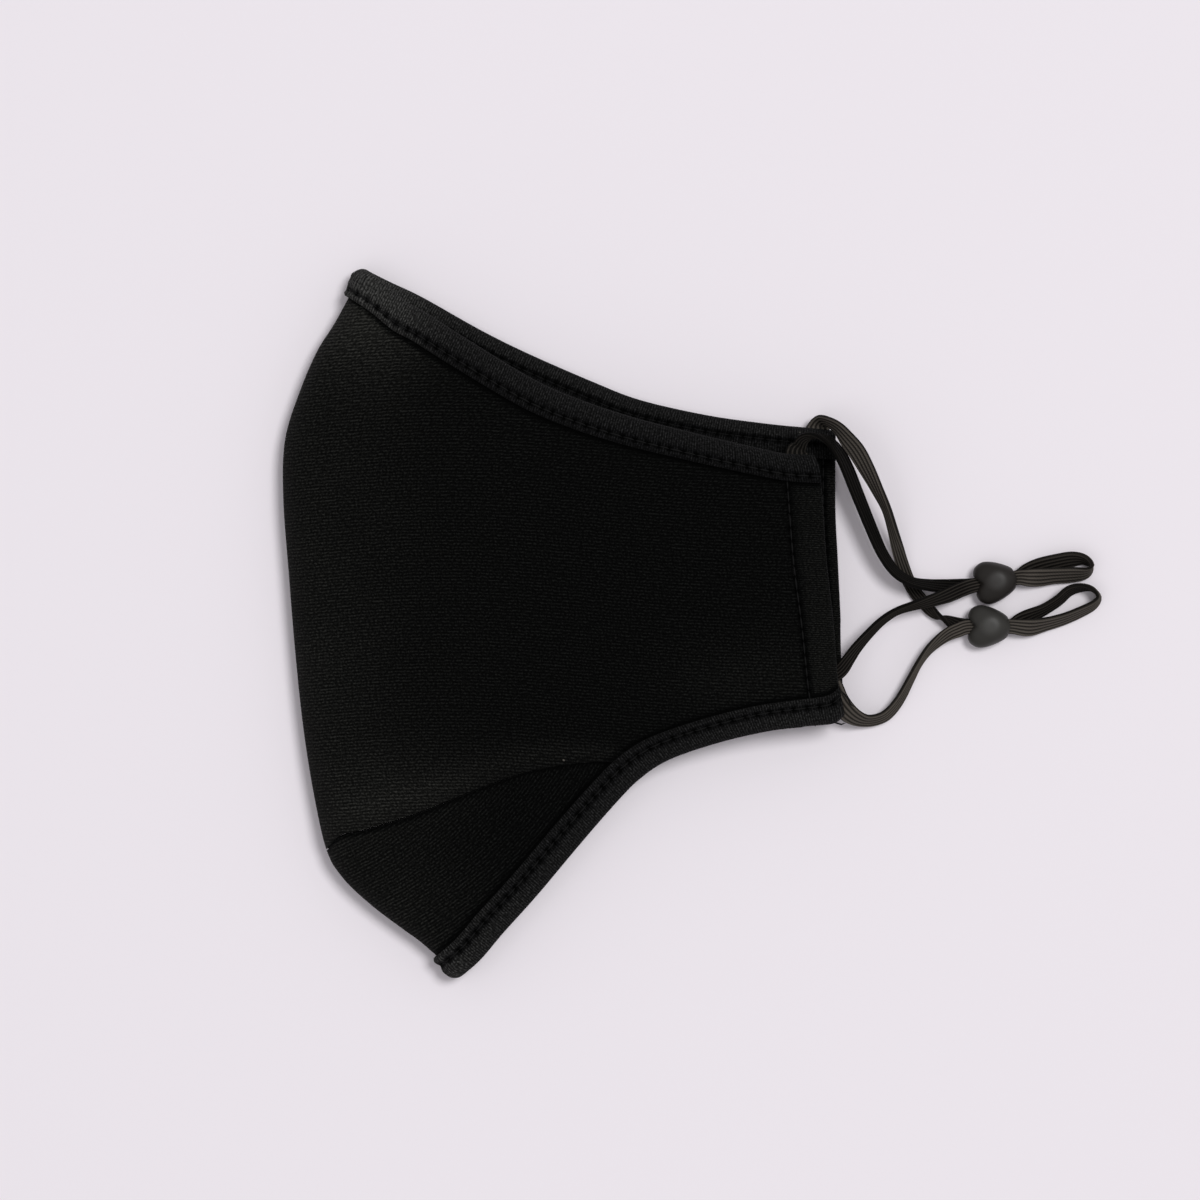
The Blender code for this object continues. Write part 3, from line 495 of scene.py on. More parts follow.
CHIN_SEAM = [
    (0.077, 0.185), (0.101, 0.205), (0.148, 0.214), (0.244, 0.238), (0.319, 0.262),
    (0.404, 0.287), (0.475, 0.301), (0.555, 0.308), (0.609, 0.306), (0.650, 0.295),
]
# Height of the near half, as shares of RISE: (share of the way back, low, middle, top)
PROFILE = np.array([
    (0.00, 0.57, 0.76, 0.57),
    (0.15, 0.62, 0.87, 0.63),
    (0.35, 0.68, 0.97, 0.72),
    (0.60, 0.76, 1.00, 0.82),
    (0.85, 0.84, 0.96, 0.90),
    (1.00, 0.87, 0.94, 0.93),
])
# Soft folds of the near half: place (back, up) and reach as shares, height share of RISE
SOFT_FOLDS = [
    (0.20, 0.33, 0.16, 0.07, 0.060),
    (0.13, 0.86, 0.10, 0.10, 0.045),
    (0.22, 0.62, 0.12, 0.16, -0.070),
    (0.82, 0.22, 0.16, 0.10, 0.035),
    (0.55, 0.55, 0.20, 0.16, 0.030),
]


class Edge:
    """A smooth line through rows of shares, read by share of its length."""

    def __init__(self, rows):
        rows = (np.array(rows) - 0.5) * (DEPTH, HEIGHT)
        ends = np.vstack([2 * rows[0] - rows[1], rows, 2 * rows[-1] - rows[-2]])
        self.points = smooth_line(ends, 8)
        run = run_length(self.points)
        self.shares = run / run[-1]

    def at(self, share):
        share = np.asarray(share, float)
        return np.stack([np.interp(share, self.shares, self.points[:, k]) for k in (0, 1)], -1)


class Half:
    """The outer face of one half. across runs from the front fold (0) to the ear edge (1),
    up from the lower edge (0) to the top edge (1)."""

    def __init__(self, top, ear, near):
        self.near = near
        self.front = Edge(FRONT_FOLD)
        self.top = Edge(top)
        self.ear = Edge(ear)
        self.lower = Edge(LOWER_EDGE)
        self.seam = Edge(CHIN_SEAM)

    def plan(self, back, up):
        """Places seen from above, spanned between the four edges."""
        b = np.asarray(back, float)[..., None]
        u = np.asarray(up, float)[..., None]
        sides = self.front.at(up) * (1 - b) + self.ear.at(up) * b
        ends = self.lower.at(back) * (1 - u) + self.top.at(back) * u
        low = self.front.at(0) * (1 - b) + self.ear.at(0) * b
        high = self.front.at(1) * (1 - b) + self.ear.at(1) * b
        return sides + ends - low * (1 - u) - high * u

    def row_length(self, up):
        """Length across, from the front fold to the ear edge."""
        return np.linalg.norm(self.ear.at(up) - self.front.at(up), axis=-1)

    def column_length(self, back):
        """Length up, from the lower edge to the top edge."""
        return np.linalg.norm(self.top.at(back) - self.lower.at(back), axis=-1)

    def distance(self, across, up):
        """Distance from the front fold along a row."""
        wide = NEAR_ROLL if self.near else FAR_ROLL
        roll = TIP_ROLL + (wide - TIP_ROLL) * smoothstep(3.0 * np.minimum(up, 1 - up))
        hem_start = self.row_length(up) - HEM_WIDTH - HEM_STEP
        rolled = roll * (1 - np.cos(np.clip(across / ROLL_SHARE, 0, 1) * math.pi / 2))
        field = roll + (hem_start - roll) * (across - ROLL_SHARE) / (HEM_SHARE - ROLL_SHARE)
        hem = hem_start + (HEM_WIDTH + HEM_STEP) * (across - HEM_SHARE) / (1 - HEM_SHARE)
        return np.where(across < ROLL_SHARE, rolled, np.where(across < HEM_SHARE, field, hem))

    def back(self, across, up):
        """Share of the way back along a row."""
        return self.distance(across, up) / self.row_length(up)

    def from_edge(self, back, up):
        """Distance in from the top or the lower edge, whichever is nearer."""
        return np.minimum(up, 1 - up) * self.column_length(back)

    def ear_distance(self, x, y, up):
        """Distance to the ear edge, seen from above."""
        return np.linalg.norm(np.stack([x, y], -1) - self.ear.at(up), axis=-1)

    def plateau(self, back, up):
        """Height of the half where it has turned flat."""
        if not self.near:
            sink = (self.from_edge(back, up) - LIFT_END) / (LIFT_FADE - LIFT_END)
            return LIFT * (1 - smoothstep(sink))
        row = np.clip(np.searchsorted(PROFILE[:, 0], back) - 1, 0, len(PROFILE) - 2)
        start = PROFILE[row]
        end = PROFILE[row + 1]
        part = (back - start[..., 0]) / (end[..., 0] - start[..., 0])
        part = 0.4 * smoothstep(part) + 0.6 * np.minimum(part, 1.0)
        _, low, middle, high = np.moveaxis(start + (end - start) * part[..., None], -1, 0)
        share = low * (1 - up) + high * up
        share = share + (middle - (low + high) / 2) * (1 - (2 * up - 1) ** 4)
        for place, rise, reach, tall, height in SOFT_FOLDS:
            away = ((back - place) / reach) ** 2 + ((up - rise) / tall) ** 2
            share = share + height * np.exp(-away) * (1 - (2 * up - 1) ** 8)
        return RISE * share

    def face(self, across, up):
        """Points of the outer face."""
        across, up = np.broadcast_arrays(np.asarray(across, float), np.asarray(up, float))
        back = self.back(across, up)
        turned = np.sin(np.clip(across / ROLL_SHARE, 0, 1) * math.pi / 2)
        z = FOLD_HEIGHT + (self.plateau(back, up) - FOLD_HEIGHT) * turned
        return np.concatenate([self.plan(back, up), z[..., None]], -1)

    def outward(self, across, up):
        """Unit vectors out of the outer face."""
        step = 0.002
        along = (self.face(np.minimum(across + step, 1), up)
                 - self.face(np.maximum(across - step, 0), up))
        rise = (self.face(across, np.minimum(up + step, 1))
                - self.face(across, np.maximum(up - step, 0)))
        return unit(np.cross(along, rise)) * (1 if self.near else -1)

    def at(self, across, up, out=0.0):
        """Points this far out from the outer face."""
        across, up, out = np.broadcast_arrays(across, up, out)
        return self.face(across, up) + self.outward(across, up) * out[..., None]

    def across_from_ear(self, distance):
        """The place this far in from the ear edge, for distances within the hem."""
        return 1 - (1 - HEM_SHARE) * np.asarray(distance, float) / (HEM_WIDTH + HEM_STEP)

    def from_ear(self, across):
        """Distance in from the ear edge, within the hem."""
        return (1 - np.asarray(across, float)) * (HEM_WIDTH + HEM_STEP) / (1 - HEM_SHARE)

    def up_from(self, across, distance, edge):
        """How far up a place is that lies this far in from the top or lower edge."""
        share = distance / self.column_length(self.back(np.asarray(across, float), edge))
        return 1 - share if edge else share

    def wall(self, across, margin=0.0):
        """Thickness of the cloth, which steps up at the ear hem."""
        part = (HEM_WIDTH + HEM_STEP + margin - self.from_ear(across)) / HEM_STEP
        return CLOTH + (HEM - CLOTH) * np.clip(part, 0.0, 1.0)

    def above_seam(self, across, up):
        """Which places lie above the chin seam or behind its end."""
        point = self.face(across, up)
        seam = self.seam.points
        line = np.interp(point[..., 0], seam[:, 0], seam[:, 1])
        return (point[..., 0] >= seam[-1, 0]) | (point[..., 1] > line)

    def seam_up(self, across):
        """How far up the chin seam is, for places in front of its end."""
        across = np.asarray(across, float)
        low = np.zeros_like(across)
        high = np.full_like(across, 0.6)
        for _ in range(30):
            middle = (low + high) / 2
            above = self.above_seam(across, middle)
            high = np.where(above, middle, high)
            low = np.where(above, low, middle)
        return low

    def fold_across(self, up):
        """The first place of the cloth, half a clearance from the other half."""
        tall = np.abs(self.plateau(np.zeros_like(np.asarray(up, float)), up) - FOLD_HEIGHT)
        return ROLL_SHARE * np.arcsin(CLEARANCE / 2 / tall) / (math.pi / 2)

    def chin_end(self):
        """Where the chin panel has narrowed to one cloth's thickness, under the binding."""
        places = np.linspace(ROLL_SHARE, HEM_SHARE, 400)
        tall = self.seam_up(places) - self.up_from(places, CLEARANCE + TAPE, 0)
        narrow = tall * self.column_length(self.back(places, 0)) <= CLOTH
        return places[np.argmax(narrow)]


near_half = Half(TOP_NEAR, EAR_NEAR, True)
far_half = Half(TOP_FAR, EAR_FAR, False)


# Panels: jersey cut on the level above the chin seam and on the slant below it. The side
# panel turns in at the ear to a flat hem, and its seam allowance lifts it above the seam.
STITCH = 2.5
# No row of stitches is quite even: how far a stitch strays, and over what length
STITCH_DRIFT = 0.35
DRIFT_LENGTH = 11.0
# Needle holes, the groove of the thread between them and the puffs on both sides of a row
HOLE_LONG = 0.5
HOLE_WIDE = 0.55
HOLE_DEEP = 0.75
GROOVE_WIDE = 0.5
GROOVE_DEEP = 0.24
PUFF_AWAY = 1.2
PUFF_WIDE = 0.7
PUFF_HIGH = 0.16
# The hem's stitches: from the ear edge at its foot, and how much farther at its top
HEM_STITCH = 6.5
HEM_STITCH_LEAN = 0.8
FAR_INNER_STITCH = 2.6
# Radius of the cloth's turn at the ear edge
EDGE_ROLL = 1.1
# Grid of a panel: steps across as a share, then mm in the hem and at its edge; rows up
FIELD_STEP = 0.0072
HEM_GRID = 0.27
EDGE_GRID = 0.16
ROLL_COLUMNS = 26
PANEL_ROWS = 150
CHIN_ROWS = 60
# The chin panel's knit lines sweep round this place: (x, y, usual radius) mm
CHIN_SWEEP = (-78.0, 19.0, 80.0)
# Small soft folds: middle (x, y) mm, half length and half width mm, turn, height mm
SMALL_FOLDS = [
    (-37.0, 58.0, 14.0, 5.0, 62.0, 0.35), (-44.0, 44.0, 18.0, 4.0, 68.0, -0.30),
    (-30.0, -37.0, 14.0, 3.0, 12.0, 0.45), (-46.0, -40.0, 10.0, 3.0, 70.0, 0.30),
    (-34.0, 24.0, 20.0, 5.0, 128.0, -0.40), (-20.0, 40.0, 16.0, 5.0, -30.0, 0.25),
    (36.0, -14.0, 12.0, 4.0, 5.0, 0.30), (20.0, -22.0, 14.0, 3.5, 20.0, -0.25),
    (10.0, 12.0, 24.0, 8.0, -20.0, 0.25), (-8.0, -20.0, 20.0, 6.0, 30.0, -0.25),
    (-36.0, -50.0, 12.0, 3.0, 40.0, 0.25), (-20.0, -44.0, 12.0, 3.5, 48.0, -0.25),
    (-26.0, -60.0, 9.0, 3.0, -40.0, 0.25), (30.0, 20.0, 10.0, 5.0, 80.0, -0.20),
]


def swell(away, reach):
    """A smooth swell: 1 in its middle and nearly gone at twice its reach."""
    return np.exp(-(away / reach) ** 2)


def small_folds(x, y):
    """Height of the small folds, in mm."""
    height = np.zeros_like(x)
    for fx, fy, long, wide, turn, tall in SMALL_FOLDS:
        spin = math.radians(turn)
        along = (x - fx) * math.cos(spin) + (y - fy) * math.sin(spin)
        aside = (y - fy) * math.cos(spin) - (x - fx) * math.sin(spin)
        height += tall * swell(along, long) * swell(aside, wide)
    return height


def uneven(run, size):
    """A smooth uneven value from -1 to 1 along a seam, about size mm from bump to bump."""
    turn = 2 * math.pi * run / size
    return (np.sin(turn) + np.sin(0.61 * turn + 1.3) + np.sin(1.73 * turn + 0.4)) / 3


def drifted(run, way=1):
    """The place of a stitch along its row, moved as the row strays."""
    return run + way * STITCH_DRIFT * uneven(run, DRIFT_LENGTH)


def from_hole(run):
    """Share of a stitch from the nearest needle hole, -0.5 to 0.5."""
    return (run / STITCH + 0.5) % 1.0 - 0.5


def pucker(run, aside):
    """Relief of one row of stitches: needle holes, the thread's groove and the puffs beside."""
    run = drifted(run)
    beat = from_hole(run)
    hole = HOLE_DEEP * swell(beat * STITCH, HOLE_LONG) * swell(aside, HOLE_WIDE)
    groove = GROOVE_DEEP * swell(aside, GROOVE_WIDE)
    puff = swell(np.abs(aside) - PUFF_AWAY, PUFF_WIDE) * (
        PUFF_HIGH * np.sin(math.pi * beat) ** 2 + 0.06 * uneven(run, 1.7))
    return puff - hole - groove


def hem_stitch(half, up, inside=False):
    """Distance from the ear edge to the hem's stitches, on its outer or its inner face."""
    if inside and not half.near:
        return np.full_like(up, FAR_INNER_STITCH)
    return HEM_STITCH + HEM_STITCH_LEAN * up


def seam_shade(run, aside):
    """How dark a row of stitches is: needle holes, and the thread's groove between them."""
    depth = 1.0 + 0.35 * uneven(run, 7.3)
    hole = swell(from_hole(drifted(run)) * STITCH, HOLE_LONG + 0.1) * swell(aside, HOLE_WIDE)
    return depth * hole + 0.4 * swell(aside, GROOVE_WIDE)


def cloth_relief(half, across, up, x, y):
    """Relief of a panel's outer and inner faces, in mm."""
    back = half.back(across, up)
    from_edge = half.from_edge(back, up)
    free = smoothstep((from_edge - TAPE_WIDTH + 0.5) / 2.0)
    folds = small_folds(x, y) * smoothstep((from_edge - TAPE_WIDTH) / 8.0) * smoothstep(
        (across - 0.1) / 0.3) * (1 if half.near else 0)
    from_ear = half.ear_distance(x, y, up)
    run = up * half.column_length(1.0)
    hem_row, inner_row = (
        pucker(run, from_ear - hem_stitch(half, up, inside)) * (from_ear < HEM_WIDTH + 3)
        for inside in (False, True))
    ladder = swell(from_ear - 2.4, 2.2) * (
        0.05 * np.cos(2 * math.pi * run / 0.85) + 0.07 * uneven(run + 0.3 * from_ear, 1.9))
    edge_roll = EDGE_ROLL * (1 - np.sqrt(1 - (1 - np.minimum(from_ear / EDGE_ROLL, 1)) ** 2))
    gather = 0.08 * uneven(back * DEPTH * 1.1, STITCH) * np.exp(
        -np.maximum(from_edge - TAPE_WIDTH, 0) / 2.2)
    relief = folds + free * (hem_row + ladder + gather) - edge_roll
    return relief, free * (inner_row + ladder) - edge_roll


def panel_columns(half, last=1.0):
    """Places across for a panel's grid, finer over the fold and in the hem, and where the
    chin panel ends."""
    fold = float(half.fold_across(np.array(0.5)))
    end = half.chin_end()
    ear = half.across_from_ear(np.concatenate([
        np.arange(HEM_WIDTH + 2.0, HEM_WIDTH + 1.0, -0.3),
        np.arange(HEM_WIDTH + 1.0, 1.6, -HEM_GRID),
        np.arange(1.6, -0.01, -EDGE_GRID)]))
    field = np.arange(ROLL_SHARE, ear[0] - 0.004, FIELD_STEP)
    field = field[np.abs(field - end) > FIELD_STEP / 2]
    columns = np.concatenate([np.linspace(fold, ROLL_SHARE, ROLL_COLUMNS)[:-1], field,
                              [end, end + 0.002], ear])
    columns = np.sort(columns)
    return columns[columns <= last + 1e-9], end


# Patches of painted sheen that grey the cloth: middle (x, y) mm, reach x and y mm, share
SHEEN_PATCHES = [
    (-42.0, 66.0, 12.0, 12.0, 0.74), (-32.0, -34.0, 14.0, 8.0, 0.20),
    (-44.0, -42.0, 12.0, 16.0, 0.12), (-28.0, -56.0, 18.0, 12.0, 0.10),
    (52.0, -12.0, 10.0, 12.0, 0.10), (36.0, -12.0, 14.0, 8.0, 0.12),
    (-46.0, 30.0, 16.0, 26.0, 0.06), (-50.0, -14.0, 12.0, 24.0, 0.10),
]


def painted_sheen(half, x, y):
    """How much painted sheen greys the cloth, most along the front fold."""
    front = half.front.points
    from_front = np.maximum(x - np.interp(y, front[:, 1], front[:, 0]), 0)
    painted_light = 0.25 * np.exp(-from_front / 4.5) + 0.22 * np.exp(-from_front / 24.0)
    for gx, gy, wide, tall, share in SHEEN_PATCHES:
        painted_light = painted_light + share * swell(x - gx, wide) * swell(y - gy, tall)
    return painted_light


def panel_painted_light(half, across, up, x, y, to_seam, chin, inside):
    """Painted light on a panel's face: painted sheen and a greyer hem, less painted shade in the
    stitch holes, painted shadows along the tape's edge and the chin seam, and a painted highlight
    above the seam.
    """
    from_ear = half.ear_distance(x, y, up)
    from_edge = half.from_edge(half.back(across, up), up)
    run = up * half.column_length(1.0)
    line = hem_stitch(half, up, inside)
    # Painted shade in the hem's stitch holes, and a painted shadow along the tape's inner edge
    dark = 1.6 * seam_shade(run, from_ear - line) * (from_ear < HEM_WIDTH + 3)
    dark = dark + swell(from_edge - TAPE_WIDTH - 0.25, 0.5)
    # A painted shadow along the chin seam, the chin panel a little darker all over, and a painted
    # highlight on the side panel's ridge above the seam
    if chin:
        dark = dark + 0.9 * swell(to_seam, 0.5) + 0.06
    else:
        dark = dark - 0.16 * swell(to_seam - 2.6, 2.6)
    # The hem a little greyer, more on its inner face
    hem = (0.22 if inside else 0.18) * (1 - smoothstep((from_ear - HEM_WIDTH + 3.5) / 3.0))
    return painted_sheen(half, x, y) + hem - dark


def sheet_faces(wide, tall, flip):
    """Faces of a closed sheet whose outer grid of points comes first, then its inner one."""
    count = wide * tall
    spot = np.arange(count).reshape(wide, tall)
    top = np.stack([spot[:-1, :-1], spot[1:, :-1], spot[1:, 1:], spot[:-1, 1:]], -1).reshape(-1, 4)
    rim = np.concatenate([spot[:-1, 0], spot[-1, :-1], spot[:0:-1, -1], spot[0, :0:-1]])
    after = np.roll(rim, -1)
    sides = np.stack([rim, rim + count, after + count, after], -1)
    faces = np.concatenate([top, top[:, ::-1] + count, sides])
    return (faces[:, ::-1] if flip else faces).tolist()


def panel(half, chin, name, finish):
    """One panel as a closed sheet, with its relief and the place of its knit."""
    columns, end = panel_columns(half, half.chin_end() if chin else 1.0)
    low = half.up_from(columns, CLEARANCE + TAPE, 0)
    seam = half.seam_up(np.minimum(columns, end))
    gap = CLEARANCE / 2 / HEIGHT
    if chin:
        high = seam - gap
        rows = CHIN_ROWS
    else:
        low = np.where(columns <= end, seam + gap, low)
        high = half.up_from(columns, CLEARANCE + TAPE, 1)
        rows = PANEL_ROWS
    share = np.linspace(0, 1, rows + 1)
    share = share - 0.06 * np.sin(2 * math.pi * share)
    up = low[:, None] + (high - low)[:, None] * share[None]
    across = np.maximum(columns[:, None], half.fold_across(up))
    face = half.face(across, up)
    outward = half.outward(across, up)
    x, y = face[..., 0], face[..., 1]
    relief, inner_relief = cloth_relief(half, across, up, x, y)
    to_seam = np.abs(up - seam[:, None]) * half.column_length(columns)[:, None]
    to_seam = np.where(columns[:, None] <= end, to_seam, 99.0)
    held = smoothstep((np.minimum(up, 1 - up) * 120 - 6) / 3) * smoothstep(across / 0.2)
    if chin:
        relief = relief - 0.45 * held * swell(to_seam, 0.7)
    else:
        relief = relief + held * (0.42 * swell(to_seam - 2.4, 2.2) - 0.30 * swell(to_seam, 0.35))
    wall = half.wall(columns)[:, None]
    outer = face + outward * relief[..., None]
    outer[..., 2] = np.maximum(outer[..., 2], 0.0)
    inner = face - outward * (wall + inner_relief)[..., None]
    arc = np.vstack([np.zeros((1, rows + 1)),
                     np.cumsum(np.linalg.norm(np.diff(face, axis=0), axis=-1), 0)])
    from_ear = half.ear_distance(x, y, up)
    if chin:
        off_x, off_y = x - CHIN_SWEEP[0], y - CHIN_SWEEP[1]
        u = CHIN_SWEEP[2] * np.arctan2(off_y, off_x)
        v = np.hypot(off_x, off_y)
    else:
        u = arc
        v = (y + 0.9 * np.sin(x / 17.0) + 0.012 * (x + 20) ** 2 / 20) * np.where(
            from_ear < hem_stitch(half, up), 1.5, 1.0)
    uv = np.tile(np.stack([u, v], -1).reshape(-1, 2), (2, 1))
    points = np.concatenate([outer.reshape(-1, 3), inner.reshape(-1, 3)])
    faces = sheet_faces(*across.shape, not half.near)
    painted_light = [panel_painted_light(half, across, up, x, y, to_seam, chin, inside)
            for inside in (False, True)]
    return add_piece(name, points, faces, finish, uv, painted_light)


# Cotton jersey, dyed black: matt and fuzzy, with a painted sheen that greys it along the front
# fold and in patches. Its level lines of loops are 0.68 mm apart, uneven and broken by lint.
WALE_PITCH = 0.9
# A wave texture's bands lie this far apart at scale 1
WAVE_PITCH = 0.314


def jersey_finish(name, colour, light, sheen_colour, line_pitch, unrest):
    finish, tree, shader = start_finish(
        name, colour, 0.9, Sheen_Weight=0.015, Sheen_Roughness=0.4, Specular_IOR_Level=0.04
    )
    node = partial(add_node, tree)
    place = node("UVMap", uv_map="cloth")
    lines = node("TexWave", {
        "Vector": place, "Scale": WAVE_PITCH / line_pitch, "Distortion": unrest, "Detail": 3.0,
        "Detail Scale": 0.9, "Detail Roughness": 0.7}, out="Fac", wave_type="BANDS",
        bands_direction="Y")
    wales = node("TexWave", {
        "Vector": place, "Scale": WAVE_PITCH / WALE_PITCH, "Distortion": 2.5, "Detail": 2.0},
        out="Fac", wave_type="BANDS", bands_direction="X")
    loops = node("Math", {0: lines, 1: wales}, operation="MULTIPLY")
    fuzz = node("TexNoise", {
        "Vector": place, "Scale": 2.2, "Detail": 3.0, "Roughness": 0.65}, out="Fac")
    height = node("Math", {0: lines, 1: 1.4, 2: loops}, operation="MULTIPLY_ADD")
    rough = node("Math", {0: height, 1: fuzz}, operation="ADD")
    bump = node("Bump", {"Height": rough, "Strength": 0.8, "Distance": 0.14 * MM})
    # The lines' crowns catch the light, broken by flecks of fuzz
    fleck = node("MapRange", {"Value": fuzz, "From Min": 0.45, "From Max": 0.68, "To Max": 1.6})
    crown = node("Math", {0: lines, 1: 1.6}, operation="POWER")
    broken = node("Math", {0: fleck, 1: 0.8, 2: 0.15}, operation="MULTIPLY_ADD")
    weave = node("Math", {0: crown, 1: broken}, operation="MULTIPLY")
    bits = node("Math", {0: fleck, 1: 0.17}, operation="MULTIPLY")
    lit = node("Math", {0: weave, 1: 0.75, 2: bits}, operation="MULTIPLY_ADD", use_clamp=True)
    tone = node("Mix", {0: lit, 6: linear(colour), 7: linear(light)}, out=2, data_type="RGBA")
    # Where the painted light is over 0 the cloth gets painted sheen in patches, most on its crowns
    painted_light = node("Attribute", out="Fac", attribute_name="painted_light")
    cloud = node("TexNoise", {"Vector": place, "Scale": 0.07, "Detail": 4.0}, out="Fac")
    patchy = node("Math", {0: cloud, 1: 0.9, 2: 0.55}, operation="MULTIPLY_ADD")
    sheened = node("Math", {0: painted_light, 1: patchy}, operation="MULTIPLY", use_clamp=True)
    shown = node("Math", {0: lit, 1: 1.7, 2: 0.12}, operation="MULTIPLY_ADD")
    sheen_share = node("Math", {0: sheened, 1: shown}, operation="MULTIPLY", use_clamp=True)
    both = node("Mix", {0: sheen_share, 6: tone, 7: linear(sheen_colour)}, out=2, data_type="RGBA")
    # Lint: pale specks 0.3 mm wide, about 13 mm apart
    lint = node("TexVoronoi", {"Vector": place, "Scale": 0.075}, out="Distance")
    speck = node("MapRange", {
        "Value": lint, "From Min": 0.010, "From Max": 0.020, "To Min": 0.6, "To Max": 0.0})
    linted = node("Mix", {0: speck, 6: both, 7: linear("#6b6760")}, out=2, data_type="RGBA")
    # Where the painted light is under 0, in stitch holes and along seams, it is painted shade
    open_air = node("Math", {0: painted_light, 1: 1.0}, operation="ADD", use_clamp=True)
    shaded = node("VectorMath", {0: linted, "Scale": open_air}, operation="SCALE")
    tree.links.new(shaded, shader.inputs["Base Color"])
    tree.links.new(bump, shader.inputs["Normal"])
    return finish


jersey = jersey_finish("black cotton jersey", "#010101", "#171817", "#333330", 0.68, 3.0)


def tunnel_cutter(half):
    """The elastic's tunnel: open through the top edge, and to the inside at its foot."""
    length = half.column_length(1 - TUNNEL_INSET / DEPTH)
    stations = np.concatenate([[-4.0], np.linspace(0, length - MOUTH_HIGH, 12),
                               [length - MOUTH_HIGH + 1, length - MOUTH_LOW]])
    open_foot = stations > length - MOUTH_HIGH + 0.5
    floor = np.where(open_foot, -HEM - 3.0, -HEM_FACE - TUNNEL_HEIGHT)
    near_side = TUNNEL_INSET - TUNNEL_WIDTH / 2
    far_side = TUNNEL_INSET + TUNNEL_WIDTH / 2
    roof = np.full_like(floor, -HEM_FACE)
    points = []
    for inset, out in ((near_side, roof), (far_side, roof), (far_side, floor), (near_side, floor)):
        across = np.full_like(stations, half.across_from_ear(inset))
        inside = half.at(across, half.up_from(across, np.abs(stations), 1), out)
        edge = half.at(across, np.ones_like(across), out)
        points.append(np.where(stations[:, None] < 0, 2 * edge - inside, inside))
    points = np.stack(points, 1)
    return add_piece("tunnel", points, ring_faces(len(points), 4), None)


near_panel = panel(near_half, False, "near_side_panel", jersey)
far_panel = panel(far_half, False, "far_side_panel", jersey)
near_chin = panel(near_half, True, "near_chin_panel", jersey)
far_chin = panel(far_half, True, "far_chin_panel", jersey)
for piece, half in ((near_panel, near_half), (far_panel, far_half)):
    carve(piece, tunnel_cutter(half))
for piece, node in ((near_panel, "side_panel_near"), (far_panel, "side_panel_far"),
                    (near_chin, "chin_panel_near"), (far_chin, "chin_panel_far")):
    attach(piece, "root")
    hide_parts(node)


# Bindings: a ribbed knit tape folded round the top and lower edges to a soft roll and stitched
# through, with one row of stitches that puckers it and a bumpy selvedge along its inner edge.
RIB = 0.52


def stitch_inward(half, edge):
    """How far in from a bound edge its stitches run."""
    if edge == 0:
        return 4.4
    return 4.9 if half.near else 3.3


def tape_places(half, edge, step):
    """Places along an edge in equal steps of length, fold to ear."""
    fine = np.linspace(0, 1, 900)
    run = run_length(half.face(fine, np.full_like(fine, edge)))
    wanted = np.linspace(0, run[-1], int(run[-1] / step) + 1)
    return np.interp(wanted, run, fine), wanted


def tape_shape(wall):
    """One section of the folded tape: (inward, out, weight of its relief)."""
    top = CLEARANCE + TAPE
    tall = wall / 2 + top
    ply = np.linspace(TAPE_WIDTH, 2 * TAPE, 17)
    bend = np.radians(np.linspace(90, 9, 8)[1:])
    upper = [(inward, top, 1.0) for inward in ply]
    upper += [(2 * TAPE * (1 - math.cos(a)), top - tall * (1 - math.sin(a)), math.sin(a))
              for a in bend]
    lower = [(inward, -wall - out, weight) for inward, out, weight in upper[::-1]]
    inner = [(TAPE_WIDTH, -wall - CLEARANCE, 0.0), (4.0, -wall - CLEARANCE, 0.0),
             (TAPE, -wall - CLEARANCE, 0.0), (TAPE, CLEARANCE, 0.0), (4.0, CLEARANCE, 0.0),
             (TAPE_WIDTH, CLEARANCE, 0.0)]
    return upper + lower + inner


def tape_relief(run, inward, stitch):
    """Relief of the tape's faces: gathers across it, stitches, puffs and the selvedge."""
    gathers = 0.05 * uneven(run + 0.2 * inward, 1.5) + 0.05 * uneven(run, 0.9)
    crown = (0.30 + 0.08 * uneven(run, 9.0)) * swell(inward - 2.3, 1.6)
    selvedge = smoothstep((inward - stitch - 0.5) / 0.9) * (
        -0.18 + 0.13 * np.cos(2 * math.pi * run / STITCH + math.pi) + 0.16 * uneven(run, 1.3))
    drop = -0.45 * smoothstep((inward - TAPE_WIDTH + 0.5) / 0.5)
    return gathers + crown + selvedge + drop + pucker(run, inward - stitch)


